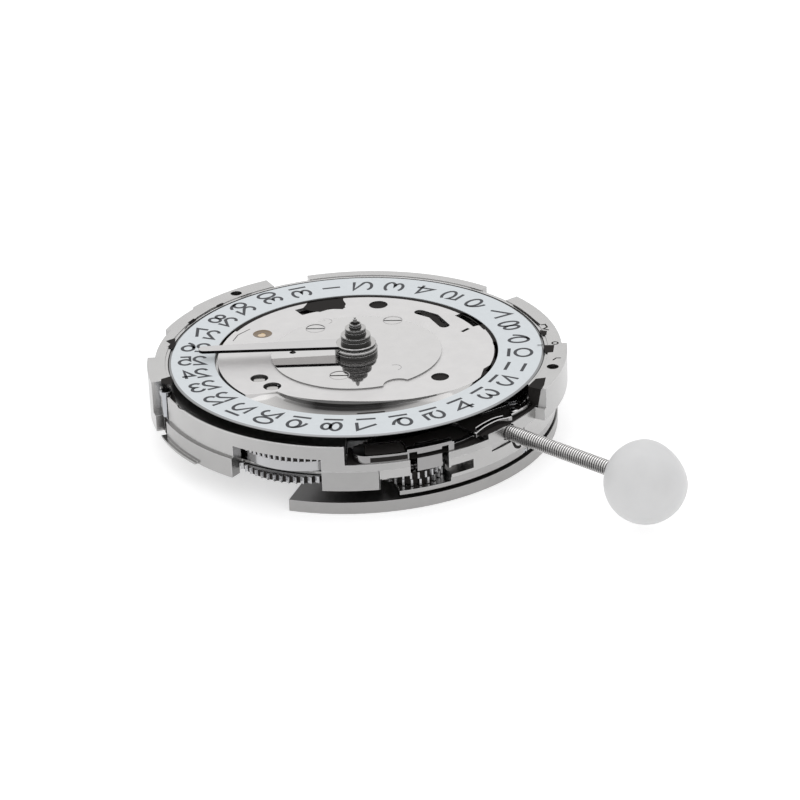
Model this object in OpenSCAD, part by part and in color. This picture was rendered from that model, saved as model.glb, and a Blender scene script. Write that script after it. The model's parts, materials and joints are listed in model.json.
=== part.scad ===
// Automatic GMT watch movement, dial side up, with its winding stem and a plastic setting knob.
// Origin: the centre axis where it crosses the dial seat. +Z is the dial side and +X runs along the stem.

/* [Case and plate] */
// Diameter of the movement body, where the case holds it
body_d = 27; // [26.8:0.1:27.4]
// Diameter over the widest part of the dial flange
flange_d = 28.4; // [28.2:0.1:29]
// Drop from the dial seat to the cut-down front shoulder
shoulder_drop = 0.45; // [0.4:0.05:0.6]
// Depth of the main plate's underside below the dial seat
plate_depth = 2.2; // [2.15:0.05:2.3]
// Thickness of the main plate's web
web_t = 0.34; // [0.28:0.02:0.36]
// Thickness of the plate's and bridges' outer wall
wall_t = 1.2; // [0.8:0.1:1.5]
// Diameter of the holes for the dial feet
dial_foot_d = 0.8; // [0.6:0.05:0.9]
// Distance of the dial feet from the centre axis
dial_foot_r = 13.5; // [13.4:0.05:13.55]

/* [Date ring] */
// Outer diameter of the date ring
date_ring_d = 25.3; // [25:0.1:25.5]
// Inner diameter of the date ring
date_ring_inner_d = 19.1; // [18.9:0.1:19.3]
// Thickness of the date ring
date_ring_t = 0.3; // [0.25:0.01:0.32]
// Depth of the date ring's face below the dial seat
date_ring_drop = 0.05; // [0.03:0.01:0.08]

/* [Calendar cover] */
// Diameter of the raised middle of the calendar cover
cover_d = 16.2; // [15.8:0.1:16.4]
// Thickness of the calendar cover's top
cover_t = 0.16; // [0.12:0.01:0.18]
// Thickness of the centre cover
centre_cover_t = 0.1; // [0.08:0.01:0.14]
// Diameter of the flush cover screws
cover_screw_d = 1.3; // [1:0.1:1.4]

/* [Hands] */
// Diameter of the seconds pinion's tip, which holds the seconds hand
seconds_seat_d = 0.26; // [0.24:0.01:0.28]
// Diameter of the minute hand's seat
minute_seat_d = 0.8; // [0.76:0.02:0.9]
// Diameter of the hour hand's seat
hour_seat_d = 1.4; // [1.3:0.05:1.5]
// Diameter of the 24-hour hand's pipe
gmt_seat_d = 2; // [1.9:0.05:2.1]
// Height of the seconds pinion's tip above the dial seat
seconds_top = 2.55; // [2.5:0.05:2.8]
// Height of the minute seat's end
minute_top = 2.1; // [2.05:0.05:2.15]
// Height of the hour seat's end
hour_top = 1.8; // [1.6:0.05:1.85]
// Height of the 24-hour pipe's end
gmt_top = 1.3; // [1.2:0.05:1.4]
// Reach of the 24-hour hand from the centre axis
gmt_hand_length = 10.6; // [9:0.1:11]
// Height of the 24-hour hand's top face
gmt_hand_z = 0.72; // [0.65:0.01:0.8]
// Compass bearing of the 24-hour hand, counter-clockwise from the stem
gmt_hand_angle = 224; // [0:1:359]

/* [Stem and knob] */
// Depth of the stem's axis below the dial seat
stem_depth = 1.9; // [1.88:0.01:1.92]
// Diameter of the threaded end of the stem
thread_d = 0.9; // [0.8:0.05:1]
// Diameter of the stem where the winding pinion runs
pilot_d = 1.1; // [1.06:0.02:1.16]
// Distance from the centre axis to the knob's centre
knob_reach = 24.7; // [22:0.1:26]
// Diameter of the round plastic knob
knob_d = 5.3; // [4:0.1:6]
// How far the stem pulls out to set the hands
stem_travel = 1; // [0.5:0.1:1]

/* [Going train] */
// Pitch radius of the barrel's teeth
barrel_r = 5; // [4.95:0.05:5.05]
// Distance of the barrel from the centre axis
barrel_reach = 8.1; // [8.05:0.05:8.15]
// Height of the barrel's toothed flange
barrel_gear_t = 0.5; // [0.4:0.05:0.54]
// Height of the barrel's plain drum under its teeth
barrel_drum_t = 0.7; // [0.6:0.05:0.72]
// Pitch radius of the ratchet wheel
ratchet_r = 5.2; // [5.15:0.05:5.25]
// Height of the ratchet wheel
ratchet_t = 0.45; // [0.4:0.05:0.48]
// Pitch radius of the great wheel
great_r = 2.6; // [2.55:0.01:2.65]
// Pitch radius of the third wheel
third_r = 2.31; // [2.26:0.01:2.34]
// Pitch radius of the fourth wheel, on the seconds arbor
fourth_r = 2.35; // [2.3:0.01:2.38]
// Outer radius of the escape wheel
escape_r = 2.1; // [2.05:0.01:2.15]
// Thickness of the thin train wheels
wheel_t = 0.12; // [0.1:0.01:0.13]
// Outer radius of the balance wheel
balance_r = 4.4; // [4:0.1:4.5]
// Height of the balance wheel's rim
balance_t = 0.2; // [0.16:0.01:0.22]

/* [Rotor] */
// Outer diameter of the rotor's weight
rotor_d = 27; // [26:0.1:27.4]
// Height of the rotor's weight
weight_t = 0.8; // [0.6:0.05:0.9]
// Width of the rotor's weight
weight_w = 2.9; // [2.4:0.1:3.2]
// Bearing of the weight's first end, counter-clockwise from the stem
weight_start = 293.5; // [0:1:359]
// Number of balls in the rotor's bearing
ball_count = 7; // [5:1:8]

/* [Fits] */
// Radial clearance of a shaft in its hole
fit = 0.03; // [0.02:0.005:0.04]
// Gap between parts that must not touch
gap = 0.05; // [0.04:0.01:0.06]
// Radius of the fine pivots in their jewels
pivot_r = 0.07; // [0.06:0.01:0.08]
// Outer radius of the jewels
jewel_r = 0.42; // [0.36:0.02:0.44]

/* [Hidden] */
$fn = 96;
eps = 0.01;
body_r = body_d/2;
flange_r = flange_d/2;
wall_r = body_r - wall_t;
ring_r = date_ring_d/2;
ring_in = date_ring_inner_d/2;
ring_top = -date_ring_drop;
ring_low = ring_top - date_ring_t;
shoulder_z = -shoulder_drop;
plate_low = -plate_depth;
web_top = -0.8;
web_low = web_top - web_t;
ledge_z = ring_low - gap;
channel_floor = -0.85;
// bridge levels
bridge_low = -3.55;
auto_top = bridge_low - gap;
auto_low = -4.15;
// motion-work levels, each a [low, high] pair under the calendar cover
cover_top = -centre_cover_t;
cover_low = cover_top - cover_t;
gmt_z = [cover_low - gap - wheel_t, cover_low - gap];
hour_z = [gmt_z[0] - gap - wheel_t, gmt_z[0] - gap];
minute_z = [web_top + gap/2, hour_z[0] - gap/2];
// train levels
great_z = [web_low - gap - 0.15, web_low - gap];
gear_top = great_z[0] - gap;
centre_wheel_z = [great_z[0] - 0.26, great_z[0] - 0.11];
barrel_z = [gear_top - barrel_gear_t, gear_top];
drum_low = barrel_z[0] - barrel_drum_t;
third_z = [barrel_z[0] - gap - wheel_t, barrel_z[0] - gap];
fourth_z = [third_z[0] - gap - wheel_t, third_z[0] - gap];
escape_z = [fourth_z[0] - 0.13 - wheel_t, fourth_z[0] - 0.13];
fork_bridge_z = [escape_z[0] - 0.04 - 0.16, escape_z[0] - 0.04];
balance_z = [fork_bridge_z[0] - gap - balance_t, fork_bridge_z[0] - gap];
spring_z = [balance_z[0] - gap - 0.08, balance_z[0] - gap];
cock_z = [bridge_low, spring_z[0] - gap];
barrel_bridge_z = [drum_low - gap - 0.2, drum_low - gap];
ratchet_z = [barrel_bridge_z[0] - gap - ratchet_t, barrel_bridge_z[0] - gap];
train_bridge_z = [bridge_low, balance_z[1]];
auto_bridge_z = [auto_low, auto_low + 0.28];
reverser_z = [auto_bridge_z[1] + gap, auto_top - gap/2];
// rotor levels
rotor_top = auto_low - 0.25;
weight_z = [rotor_top - weight_t, rotor_top];
gear_z = [rotor_top, auto_low - gap];
rotor_plate_z = [rotor_top - 0.35, rotor_top - 0.1];
hub_low = weight_z[0] + 0.2;
rotor_r = rotor_d/2;

function polar(r, a) = [r*cos(a), r*sin(a)];
// The point at distance a from p and b from q, on the left of the way from p to q if side is 1
function meet(p, a, q, b, side) =
    let(d = norm(q - p), u = (q - p)/d, s = (a*a - b*b + d*d)/(2*d), h = sqrt(a*a - s*s))
    p + s*u + side*h*[-u[1], u[0]];

// The bearing of the first of m teeth at q that puts them in mesh with n teeth at p
function mesh(p, n, phase, q, m) =
    let(a = atan2(q[1] - p[1], q[0] - p[0]))
    a + 180 + ((a - phase)*n/360 - 0.5)*360/m;

// Tooth heights above and below the pitch circle
tip = 0.05;
root = 0.08;
// room round a toothed wheel, beyond its pitch circle
tooth_room = tip + 0.12;
// a reach past everything, for cuts that go right out
beyond = 20;
// screws under the bridges: shank, head and the room round the head
shank_r = 0.3;
head_r = 0.58;
head_room_r = 0.62;
// the rotor's screw
rotor_screw_r = 0.35;
// Pinion radii, which with the wheels give the arbors' places
great_pinion_r = barrel_r/7;
third_pinion_r = great_r/6;
seconds_pinion_r = third_r/6;
centre_drive_r = (third_r + seconds_pinion_r)/11;
centre_wheel_r = 10*centre_drive_r;
escape_pinion_r = 0.15*fourth_r;
cannon_r = 0.7;
minute_wheel_r = 3*cannon_r;
minute_pinion_r = (cannon_r + minute_wheel_r)/5;
hour_wheel_r = 4*minute_pinion_r;
idler_r = 0.7*hour_wheel_r;
idler_share = 0.35;
gmt_wheel_r = (hour_wheel_r + idler_r)/(1 + idler_share);
idler_pinion_r = gmt_wheel_r*idler_share;
centre = [0, 0];
barrel_at = polar(barrel_reach, 290);
great_at = meet(centre, 3.6, barrel_at, barrel_r + great_pinion_r, -1);
third_at = meet(centre, third_r + seconds_pinion_r, great_at, great_r + third_pinion_r, -1);
escape_at = polar(fourth_r + escape_pinion_r, 100);
balance_at = polar(body_r - balance_r - 0.25, 137);
fork_at = escape_at + 2.75*(balance_at - escape_at)/norm(balance_at - escape_at);
fork_angle = atan2(balance_at[1] - fork_at[1], balance_at[0] - fork_at[0]);
date_wheel_at = polar(7.4, 193.5);
idler_at = meet(centre, hour_wheel_r + idler_r, date_wheel_at, gmt_wheel_r + idler_pinion_r, 1);
minute_wheel_at = polar(cannon_r + minute_wheel_r, 60);
setting_wheel_r = 1.1;
setting_wheel_at = minute_wheel_at + polar(minute_wheel_r + setting_wheel_r, -20);
// winding works
crown_wheel_r = 2.05;
transfer_r = 2.05;
transfer_at = meet(barrel_at, ratchet_r + transfer_r, centre, body_r - 2.5, -1);
crown_wheel_at = meet(transfer_at, transfer_r + crown_wheel_r, centre, body_r - 2.82, -1);
reverser_r = 1.2;
rotor_gear_r = 2.3;
reverser_at = [for (a = [75, 125]) polar(rotor_gear_r + reverser_r, a)];
reduction_at = polar(rotor_gear_r + reverser_r + 2.4, 100);
reverser_pinion_r = 0.8;
reduction_r = norm(reduction_at - reverser_at[0]) - reverser_pinion_r;
// stem stations along +X
stem_z = -stem_depth;
stem_tail = body_r - 9.9;
tail_housing_x = body_r - 9.4;
slide_x = [body_r - 7.4, body_r - 5.45];
slot_x = slide_x[0] - stem_travel - 0.1;
pinion_x = [body_r - 5, body_r - 3.7];
groove_x = [body_r - 2.6, body_r - 2.1];
collar_x = body_r - 1.2;
pinion_r = 1.1;
stem_square = 0.7;
lever_pivot = [body_r - 1.85, 2.3];
yoke_pivot = [body_r - 6.65, 3.7];
lever_z = [-1.32, -1.07];
// rotor bearing
race_in_r = 1.15;
ball_r = 0.26;
ball_path_r = race_in_r + ball_r + 0.01;
race_out_r = ball_path_r + ball_r + 0.01;
bearing_z = (hub_low + rotor_top)/2;

// Flange segments: start bearing, end bearing, outer radius, low end
flange_cuts = [[160, 187, flange_r - 0.05, plate_low], [186.4, 203.4, flange_r - 0.25, plate_low],
    [203, 222.6, flange_r - 0.6, plate_low], [222, 238, flange_r - 0.1, plate_low],
    [90.6, 148, body_r + 0.1, -1.4], [43, 79, body_r + 0.35, -1.4], [13, 43.6, flange_r, plate_low]];
// Places of the screws that hold the bridges and covers
cover_screws = [polar(4.9, 168), polar(5.5, 106), polar(3.8, 296)];
bridge_screws = [for (a = [258, 308.5, 60, 205, 105]) polar(body_r - 0.65, a)];
auto_screws = [for (a = [8, 85]) polar(body_r - 0.65, a)];
cock_foot = polar(body_r - 1.1, 168);
fork_foot = [-4.9, 2];
click_pivot = barrel_at + polar(ratchet_r + 0.85, 200);
click_screw_r = 0.2;
click_w = 0.5;
crown_screw_r = 0.35;
transfer_screw_r = 0.45;
transfer_cap_r = 0.9;
driver_low = auto_bridge_z[1] + gap;
click_tip = click_pivot + polar(1.26, 320);

recess_floor = -1.72;
arm_low = recess_floor + 0.5;
// the lever jumper's middle radius and the bearing of its round end
jumper_mid = body_r - 1.03;
jumper_end = 315.7;
lever_room = 2.2;
// bearings of the window on the barrel's teeth
window_at = [276.5, 303.2];
// bearings of the notch beside it, of the slits under and beside that notch, of the barrel bridge's
// front wall and of its lip
notch_at = [327.5, 338.8];
slit_at = [319, 339.5, 346.6];
slit_top = plate_low - 0.6;
front_wall_at = [310.6, 318.7];
lip_at = [243, 263];
lip_z = [bridge_low, bridge_low + 0.16];
// the barrel bridge's front-left block stands a little proud of the plate, beside the clamp's groove
block_at = [245.3, 279];
block_r = body_r + 0.2;
clamp_at = 241.5;
clamp_groove = [238.6, 245.3];
left_flange_end = 240.6;
slot_half = pinion_r + 0.1;
stem_tail_r = 0.3;
arbor_r = 0.6;
jewel_t = 0.28;
post_r = 0.16;
centre_tube_r = 0.27;
centre_cover_r = 5.75;
// the calendar cover's front ledge, and its outline as radii by bearing
ledge_top = -0.41;
ledge_t = 0.06;
cover_outline = [[0, 9.05], [8, 9.3], [16, ring_in - 0.2], [262, ring_in - 0.2], [270, cover_d/2 - 0.5],
    [290, cover_d/2 - 0.3], [310, cover_d/2 - 0.22], [334, cover_d/2 - 0.05], [352, cover_d/2 + 0.56], [360, 9.05]];
gmt_hub_r = 1.43;
bridge_at = polar(9.5, 283);
bridge_split = 7.3;
fork_length = 3.1;
// the balance staff, its hairspring and the stud
staff_r = 0.2;
collet_r = 0.5;
spring_turns = 6;
spring_pitch = 0.28;
spring_w = 0.06;
stud_r = 0.15;
stud_reach = collet_r + spring_turns*spring_pitch + spring_w/2 + stud_r + 0.04;
groove_mid = (groove_x[0] + groove_x[1])/2;
yoke_tip = [body_r - 6.25, 0.75];
dial_foot_angles = [172, 28];
finger_z = [hour_z[1] + 0.03, ring_low - 0.02];
finger_reach = ring_in + 0.1 - norm(date_wheel_at);
jumper_pivot = polar(6.6, 262);
jumper_tip = polar(ring_in - 0.22, 281);
// A pallet stone's place, in the fork's own frame
function stone_at(s) = [-2.75 + (escape_r + 0.17)*cos(33), s*(escape_r + 0.17)*sin(33)];

// Phases of the wheels that mesh
minute_phase = mesh(centre, 14, 0, minute_wheel_at, 42);
hour_phase = mesh(minute_wheel_at, 10, 0, centre, 40);
idler_phase = mesh(centre, 40, hour_phase, idler_at, 28);
gmt_phase = mesh(idler_at, 14, 0, centre, 40);
date_phase = mesh(idler_at, 14, 0, date_wheel_at, 40);
setting_phase = mesh(minute_wheel_at, 42, minute_phase, setting_wheel_at, 22);
seconds_phase = mesh(third_at, 60, 0, centre, 10);
drive_phase = mesh(centre, 80, 0, third_at, 8);
great_phase = mesh(third_at, 10, 0, great_at, 60);
barrel_phase = mesh(great_at, 11, 0, barrel_at, 77);
escape_phase = mesh(centre, 60, 0, escape_at, 9);
transfer_phase = mesh(barrel_at, 66, 270/66, transfer_at, 26);
crown_phase = mesh(transfer_at, 26, transfer_phase, crown_wheel_at, 26);

module at(p) {
    translate([p[0], p[1], 0]) children();
}

// A plain disc between two heights, with an optional bore
module disc(r, z, bore = 0) {
    translate([0, 0, z[0]]) difference() {
        cylinder(r = r, h = z[1] - z[0]);
        if (bore > 0) translate([0, 0, -eps]) cylinder(r = bore, h = z[1] - z[0] + 2*eps);
    }
}

// A toothed disc: n straight-sided teeth round a pitch radius, the first at bearing phase
module toothed(r, n, z, phase = 0, up = tip, down = root) {
    step = 360/n;
    translate([0, 0, z[0]]) linear_extrude(z[1] - z[0]) polygon([for (i = [0:n - 1], k = [0:3])
        let(a = phase + i*step + step*[-0.3, -0.12, 0.12, 0.3][k], q = (k == 0 || k == 3) ? r - down : r + up)
        polar(q, a)]);
}

// A toothed disc with pointed teeth that lean one way, as a ratchet's do
module saw_toothed(r, n, z, depth) {
    step = 360/n;
    translate([0, 0, z[0]]) linear_extrude(z[1] - z[0]) polygon([for (i = [0:n - 1], k = [0:1])
        polar(k == 0 ? r - depth : r, (i + (k == 0 ? 0 : 0.75))*step)]);
}

// A pie slice between two bearings, reaching out to radius r
module slice(a0, a1, r, z) {
    span = (a1 - a0 + 360) % 360;
    n = ceil(span/30);
    far = r/cos(span/n/2);
    translate([0, 0, z[0]]) linear_extrude(z[1] - z[0])
        polygon(concat([[0, 0]], [for (i = [0:n]) polar(far, a0 + span*i/n)]));
}

// A band of a ring between two bearings
module band(a0, a1, r_in, r_out, z) {
    intersection() {
        disc(r_out, z, r_in);
        slice(a0, a1, r_out, [z[0] - eps, z[1] + eps]);
    }
}

// A straight bar between two points with round ends
module bar(p, q, w, z) {
    d = norm(q - p);
    translate([p[0], p[1], z[0]]) rotate([0, 0, atan2(q[1] - p[1], q[0] - p[0])]) {
        translate([0, -w/2, 0]) cube([d, w, z[1] - z[0]]);
        cylinder(r = w/2, h = z[1] - z[0], $fn = 32);
        translate([d, 0, 0]) cylinder(r = w/2, h = z[1] - z[0], $fn = 32);
    }
}

// A bent strip of constant width through a list of points
module strip(points, w, z) {
    for (i = [0:len(points) - 2]) bar(points[i], points[i + 1], w, z);
}

// A hole along X at the stem's height
module along_stem(r, x) {
    translate([x[0], 0, stem_z]) rotate([0, 90, 0]) cylinder(r = r, h = x[1] - x[0]);
}

// A jewel bearing: a ring round a pivot
module jewel(z) {
    color("firebrick") disc(jewel_r, z, pivot_r + fit);
}

// A spiral strip in the plane, wound outward by pitch for each turn
module spiral(r0, turns, pitch, w, z) {
    steps = 24*turns;
    path = [for (i = [0:steps]) [r0 + pitch*i/24, i*15]];
    translate([0, 0, z[0]]) linear_extrude(z[1] - z[0]) polygon(concat(
        [for (p = path) polar(p[0] + w/2, p[1])],
        [for (i = [steps:-1:0]) polar(path[i][0] - w/2, path[i][1])]));
}

module main_plate() {
    color("silver") difference() {
        union() {
            // the web and the outer wall
            disc(body_r, [plate_low, shoulder_z]);
            for (c = flange_cuts) band(c[0], c[1], wall_r, c[2], [c[3], 0]);
            // the housings of the stem's tail and neck, deeper than the plate
            translate([tail_housing_x, -1, stem_z - 0.75]) cube([0.9, 2, 1]);
            translate([pinion_x[1] + gap, -1.6, stem_z - 0.75]) cube([body_r - 0.2 - pinion_x[1], 3.2, 1]);
        }
        // the cavity for the going train, with its pillars and bearings left standing
        difference() {
            disc(wall_r, [plate_low - eps, web_low]);
            at(escape_at) disc(jewel_r + 0.2, [fourth_z[1] + gap, 0]);
            at(fork_at) disc(jewel_r + 0.15, [escape_z[1] + gap, 0]);
            at(balance_at) disc(jewel_r + 0.4, [escape_z[1] + gap, 0]);
            for (p = bridge_screws) at(p*0.985) disc(0.8, [plate_low - 1, 0]);
            translate([tail_housing_x, -1, plate_low - 1]) cube([0.9, 2.8, 3]);
            translate([pinion_x[1] + gap, -1.6, plate_low - 1]) cube([2.6, 5, 3]);
            translate([5.5, slot_half, plate_low - 1]) cube([2.7, 3.6, 3]);
        }
        // the sunk middle under the calendar cover, and the channel under the date ring
        disc(cover_d/2 - 0.4, [web_top, 1]);
        band(255.3, 372.7, cover_d/2 - 0.52, ring_in + 0.66, [ledge_top - ledge_t - gap/2, 1]);
        disc(ring_r + 0.25, [channel_floor, 1], ring_in + 0.6);
        disc(ring_r + 0.25, [ledge_z, 1]);
        band(237.4, 374, ring_in + 0.6, ring_r + 0.7, [channel_floor, 1]);
        // the keyless recesses: one over the bridge's front, one round the stem
        band(309.6, 352, 10.2, beyond, [recess_floor, 1]);
        band(350, 374, 9.9, beyond, [lever_z[0] - gap, 1]);
        bar(yoke_pivot, [yoke_pivot[0], 0.2], lever_room, [lever_z[0] - gap, -0.5]);
        bar(yoke_pivot, lever_pivot, lever_room, [lever_z[0] - gap, -0.5]);
        // room for the centre wheel between the pillars
        disc(centre_wheel_r + tip + 0.1, [centre_wheel_z[0] - gap, centre_wheel_z[1] + gap]);
        // windows on the barrel's teeth and beside the winding wheels
        at(barrel_at) disc(barrel_r + tooth_room, [plate_low - eps, gear_top + gap]);
        band(window_at[0], window_at[1], wall_r - 0.3, beyond, [plate_low - eps, gear_top + gap]);
        band(notch_at[0], notch_at[1], wall_r - 0.3, beyond, [plate_low - eps, 0]);
        // the date wheel's well
        at(date_wheel_at) disc(gmt_wheel_r + tooth_room, [web_top, 0]);
        // the stem's holes and the pinions' slot
        along_stem(stem_tail_r + fit, [stem_tail - 0.5, slide_x[0]]);
        along_stem(pilot_d/2 + fit, [pinion_x[1], 30]);
        translate([slot_x, -slot_half, plate_low - 1]) cube([pinion_x[1] + gap - slot_x, 2*slot_half, 3]);
        // bearings in the web
        disc(minute_seat_d/2 + fit, [web_low - eps, 0]);
        at(barrel_at) disc(arbor_r + fit, [web_low - eps, 0]);
        for (p = [great_at, third_at]) at(p) disc(jewel_r, [web_low - eps, 0]);
        at(escape_at) disc(jewel_r, [fourth_z[1], fourth_z[1] + gap + jewel_t]);
        for (p = [fork_at, balance_at]) at(p) disc(jewel_r, [escape_z[1], escape_z[1] + gap + jewel_t]);
        for (p = [minute_wheel_at, idler_at, date_wheel_at]) at(p) disc(post_r + fit, [web_low - eps, 0]);
        at(setting_wheel_at) disc(post_r + fit, [web_low - 0.3, 0]);
        for (p = [lever_pivot, yoke_pivot]) at(p) disc(0.3 + fit, [lever_z[0] - 0.5, 0]);
        // holes for dial feet and screws, and the groove of the dial-foot clamp
        for (a = dial_foot_angles) at(polar(dial_foot_r, a)) disc(dial_foot_d/2, [-1.2, 1]);
        for (p = bridge_screws) at(p) disc(shank_r, [plate_low - eps, plate_low + 0.7]);
        for (p = cover_screws) at(p) disc(0.25, [web_low - eps, 0]);
        band(clamp_groove[0], clamp_groove[1], body_r - 0.6, beyond, [plate_low - eps, 1]);
        // the date jumper's groove
        bar(jumper_pivot, jumper_tip, 1, [hour_z[0] - gap, 0]);
    }
}

// The polished cover over the calendar works: a raised middle, flush with the ring at the back
module calendar_cover() {
    color("gainsboro") difference() {
        union() {
            disc(cover_d/2 - 0.55, [web_top, cover_top]);
            translate([0, 0, ring_low + gap/2]) linear_extrude(cover_top - ring_low - gap/2)
                polygon([for (a = [0:2:358]) polar(lookup(a, cover_outline), a)]);
            band(258, 372, cover_d/2 - 0.8, ring_in + 0.4, [ledge_top - ledge_t, ledge_top]);
            band(256, 374, cover_d/2 - 0.8, cover_d/2 - 0.5, [ledge_top - ledge_t/2, ring_low + gap]);
        }
        // the room for the hour, 24-hour and date wheels underneath
        disc(gmt_wheel_r + tooth_room, [web_top - eps, cover_low]);
        at(minute_wheel_at) disc(minute_wheel_r + tooth_room, [web_top - eps, cover_low]);
        at(setting_wheel_at) disc(setting_wheel_r + tooth_room, [web_top - eps, cover_low]);
        at(idler_at) disc(idler_r + tooth_room, [web_top - eps, cover_low]);
        at(date_wheel_at) disc(gmt_wheel_r + tooth_room, [web_top - eps, cover_low]);
        translate([slot_x, -slot_half, web_top - eps]) cube([4, 2*slot_half, 0.3]);
        bar(jumper_pivot, jumper_tip, 1.4, [web_top - eps, cover_low]);
        // the pipe's hole, the screws, the steady holes and the shaped openings
        disc(gmt_seat_d/2 + fit + 0.02, [web_top - eps, 0]);
        for (p = cover_screws) at(p) {
            disc(0.25, [web_top - eps, 0]);
            disc(cover_screw_d/2 + 0.02, [cover_top - 0.15, 0]);
        }
        at(idler_at) disc(post_r + fit, [cover_low - eps, cover_top - 0.04]);
        at(date_wheel_at) disc(jewel_r + 0.15, [cover_low - eps, 0]);
        at(polar(7.97, 122)) disc(0.65, [web_top - eps, 0]);
        at(polar(6.97, 5.7)) disc(0.6, [web_top - eps, 0]);
        for (a = [251, 263.5]) at(polar(7.3, a)) disc(0.6, [web_top - eps, 0]);
        at(polar(4.3, 220)) disc(0.22, [cover_low - eps, 0]);
        strip([[-1.1, 7.6], [0.1, 7.7], [1.7, 7]], 0.75, [web_top - eps, 0]);
        translate([3.24, 6.95, web_top - eps]) cube([0.25, 0.7, 1]);
        band(139, 163, 7.55, 8.6, [web_top - eps, 0]);
        at(jumper_tip) disc(0.38, [web_top, ring_low]);
        band(67, 82, 8.75, beyond, [web_top - eps, 0]);
    }
}

// The centre cover, which holds the 24-hour wheel down
module centre_cover() {
    color("gainsboro") difference() {
        disc(centre_cover_r, [cover_top, 0]);
        disc(gmt_seat_d/2 + fit + 0.02, [cover_top - eps, eps]);
        for (p = cover_screws) at(p) disc(cover_screw_d/2 + 0.02, [cover_top - eps, eps]);
        at(polar(6.1, 340)) disc(1, [cover_top - eps, eps]);
        at(polar(4.3, 220)) disc(0.22, [cover_top - eps, eps]);
    }
}

module cover_screws() {
    color("gainsboro") for (p = cover_screws) at(p) rotate([0, 0, 40]) {
        difference() {
            disc(cover_screw_d/2, [cover_top - 0.15, -0.02]);
            translate([-1, -0.08, -0.12]) cube([2, 0.16, 1]);
        }
        disc(0.25, [web_low + gap, cover_top - 0.15]);
    }
}

module date_ring() {
    color("white") difference() {
        rotate_extrude() polygon([[ring_in, ring_low], [ring_r - 0.35, ring_low], [ring_r, ring_top - 0.1],
            [ring_r - 0.02, ring_top - 0.07], [ring_r - 0.31, ring_top], [ring_in, ring_top]]);
        // 31 driving notches under the inner edge
        for (i = [0:30]) rotate([0, 0, (i + 0.5)*360/31]) translate([ring_in - 0.2, -0.45, ring_low - eps])
            cube([0.6, 0.9, 0.13 + eps]);
    }
}

module date_wheel() {
    color("goldenrod") at(date_wheel_at) {
        toothed(gmt_wheel_r, 40, minute_z, date_phase);
        disc(post_r, [web_low + gap, cover_top - 0.02]);
        // the finger that moves the ring one day on
        disc(0.7, [minute_z[1] - eps, finger_z[1]]);
        translate([0, 0, finger_z[0]]) linear_extrude(finger_z[1] - finger_z[0])
            polygon([[0, -0.3], [finger_reach, -0.12], [finger_reach, 0.12], [0, 0.3]]);
    }
}

module date_jumper() {
    color("silver") {
        difference() {
            bar(jumper_pivot, jumper_tip, 0.5, hour_z);
            at(jumper_pivot) disc(0.16 + fit, [hour_z[0] - eps, hour_z[1] + eps]);
        }
        translate([jumper_tip[0], jumper_tip[1], hour_z[1] - eps]) cylinder(r = 0.14, h = 0.12);
    }
}

module minute_wheel() {
    color("goldenrod") at(minute_wheel_at) {
        toothed(minute_wheel_r, 42, minute_z, minute_phase);
        toothed(minute_pinion_r, 10, [minute_z[1] - eps, hour_z[1]]);
        disc(post_r, [web_low + gap, minute_z[0] + eps]);
    }
}

module setting_wheel() {
    color("silver") at(setting_wheel_at) {
        toothed(setting_wheel_r, 22, minute_z, setting_phase);
        disc(post_r, [web_low - 0.25, minute_z[0] + eps]);
    }
}

module cannon_pinion() {
    color("silver") difference() {
        union() {
            disc(minute_seat_d/2, [minute_z[0], minute_top]);
            toothed(cannon_r, 14, minute_z);
        }
        disc(centre_tube_r, [minute_z[0] - eps, minute_top + eps]);
    }
}

// The centre arbor: a tube with the centre wheel at its foot and the cannon pinion on top
module centre_arbor() {
    color("silver") difference() {
        union() {
            disc(minute_seat_d/2, [centre_wheel_z[0], minute_z[0]]);
            disc(centre_tube_r, [centre_wheel_z[0], minute_top - 0.1]);
            toothed(centre_wheel_r, 80, centre_wheel_z);
        }
        disc(seconds_seat_d/2 + fit, [centre_wheel_z[0] - eps, minute_top + eps]);
    }
}

module hour_wheel() {
    color("silver") difference() {
        union() {
            toothed(hour_wheel_r, 40, hour_z, hour_phase);
            disc(hour_seat_d/2, [hour_z[0], hour_top]);
        }
        disc(minute_seat_d/2 + fit, [hour_z[0] - eps, hour_top + eps]);
    }
}

module gmt_wheel() {
    color("silver") difference() {
        union() {
            toothed(gmt_wheel_r, 40, gmt_z, gmt_phase);
            disc(gmt_seat_d/2, [gmt_z[0], gmt_top]);
            disc(gmt_hub_r, [gap, 0.42]);
        }
        disc(hour_seat_d/2 + fit, [gmt_z[0] - eps, gmt_top + eps]);
    }
}

module gmt_idler() {
    color("goldenrod") at(idler_at) {
        toothed(idler_r, 28, hour_z, idler_phase);
        toothed(idler_pinion_r, 14, [minute_z[0], gmt_z[1]]);
        disc(post_r, [web_low + gap, cover_top - 0.08]);
    }
}

// The tapered 24-hour hand, on the 24-hour pipe
module gmt_hand() {
    hand_z = [gmt_hand_z - 0.14, gmt_hand_z];
    color("whitesmoke") rotate([0, 0, gmt_hand_angle]) difference() {
        union() {
            disc(gmt_hub_r - 0.1, [0.42, gmt_hand_z]);
            translate([0, 0, hand_z[0]]) linear_extrude(hand_z[1] - hand_z[0])
                polygon([[0, -0.72], [gmt_hand_length - 0.35, -0.38],
                    [gmt_hand_length - 0.35, 0.38], [0, 0.72]]);
            translate([gmt_hand_length - 0.38, 0, hand_z[0]]) cylinder(r = 0.38, h = hand_z[1] - hand_z[0]);
        }
        disc(gmt_seat_d/2, [0, 2]);
    }
}

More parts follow.
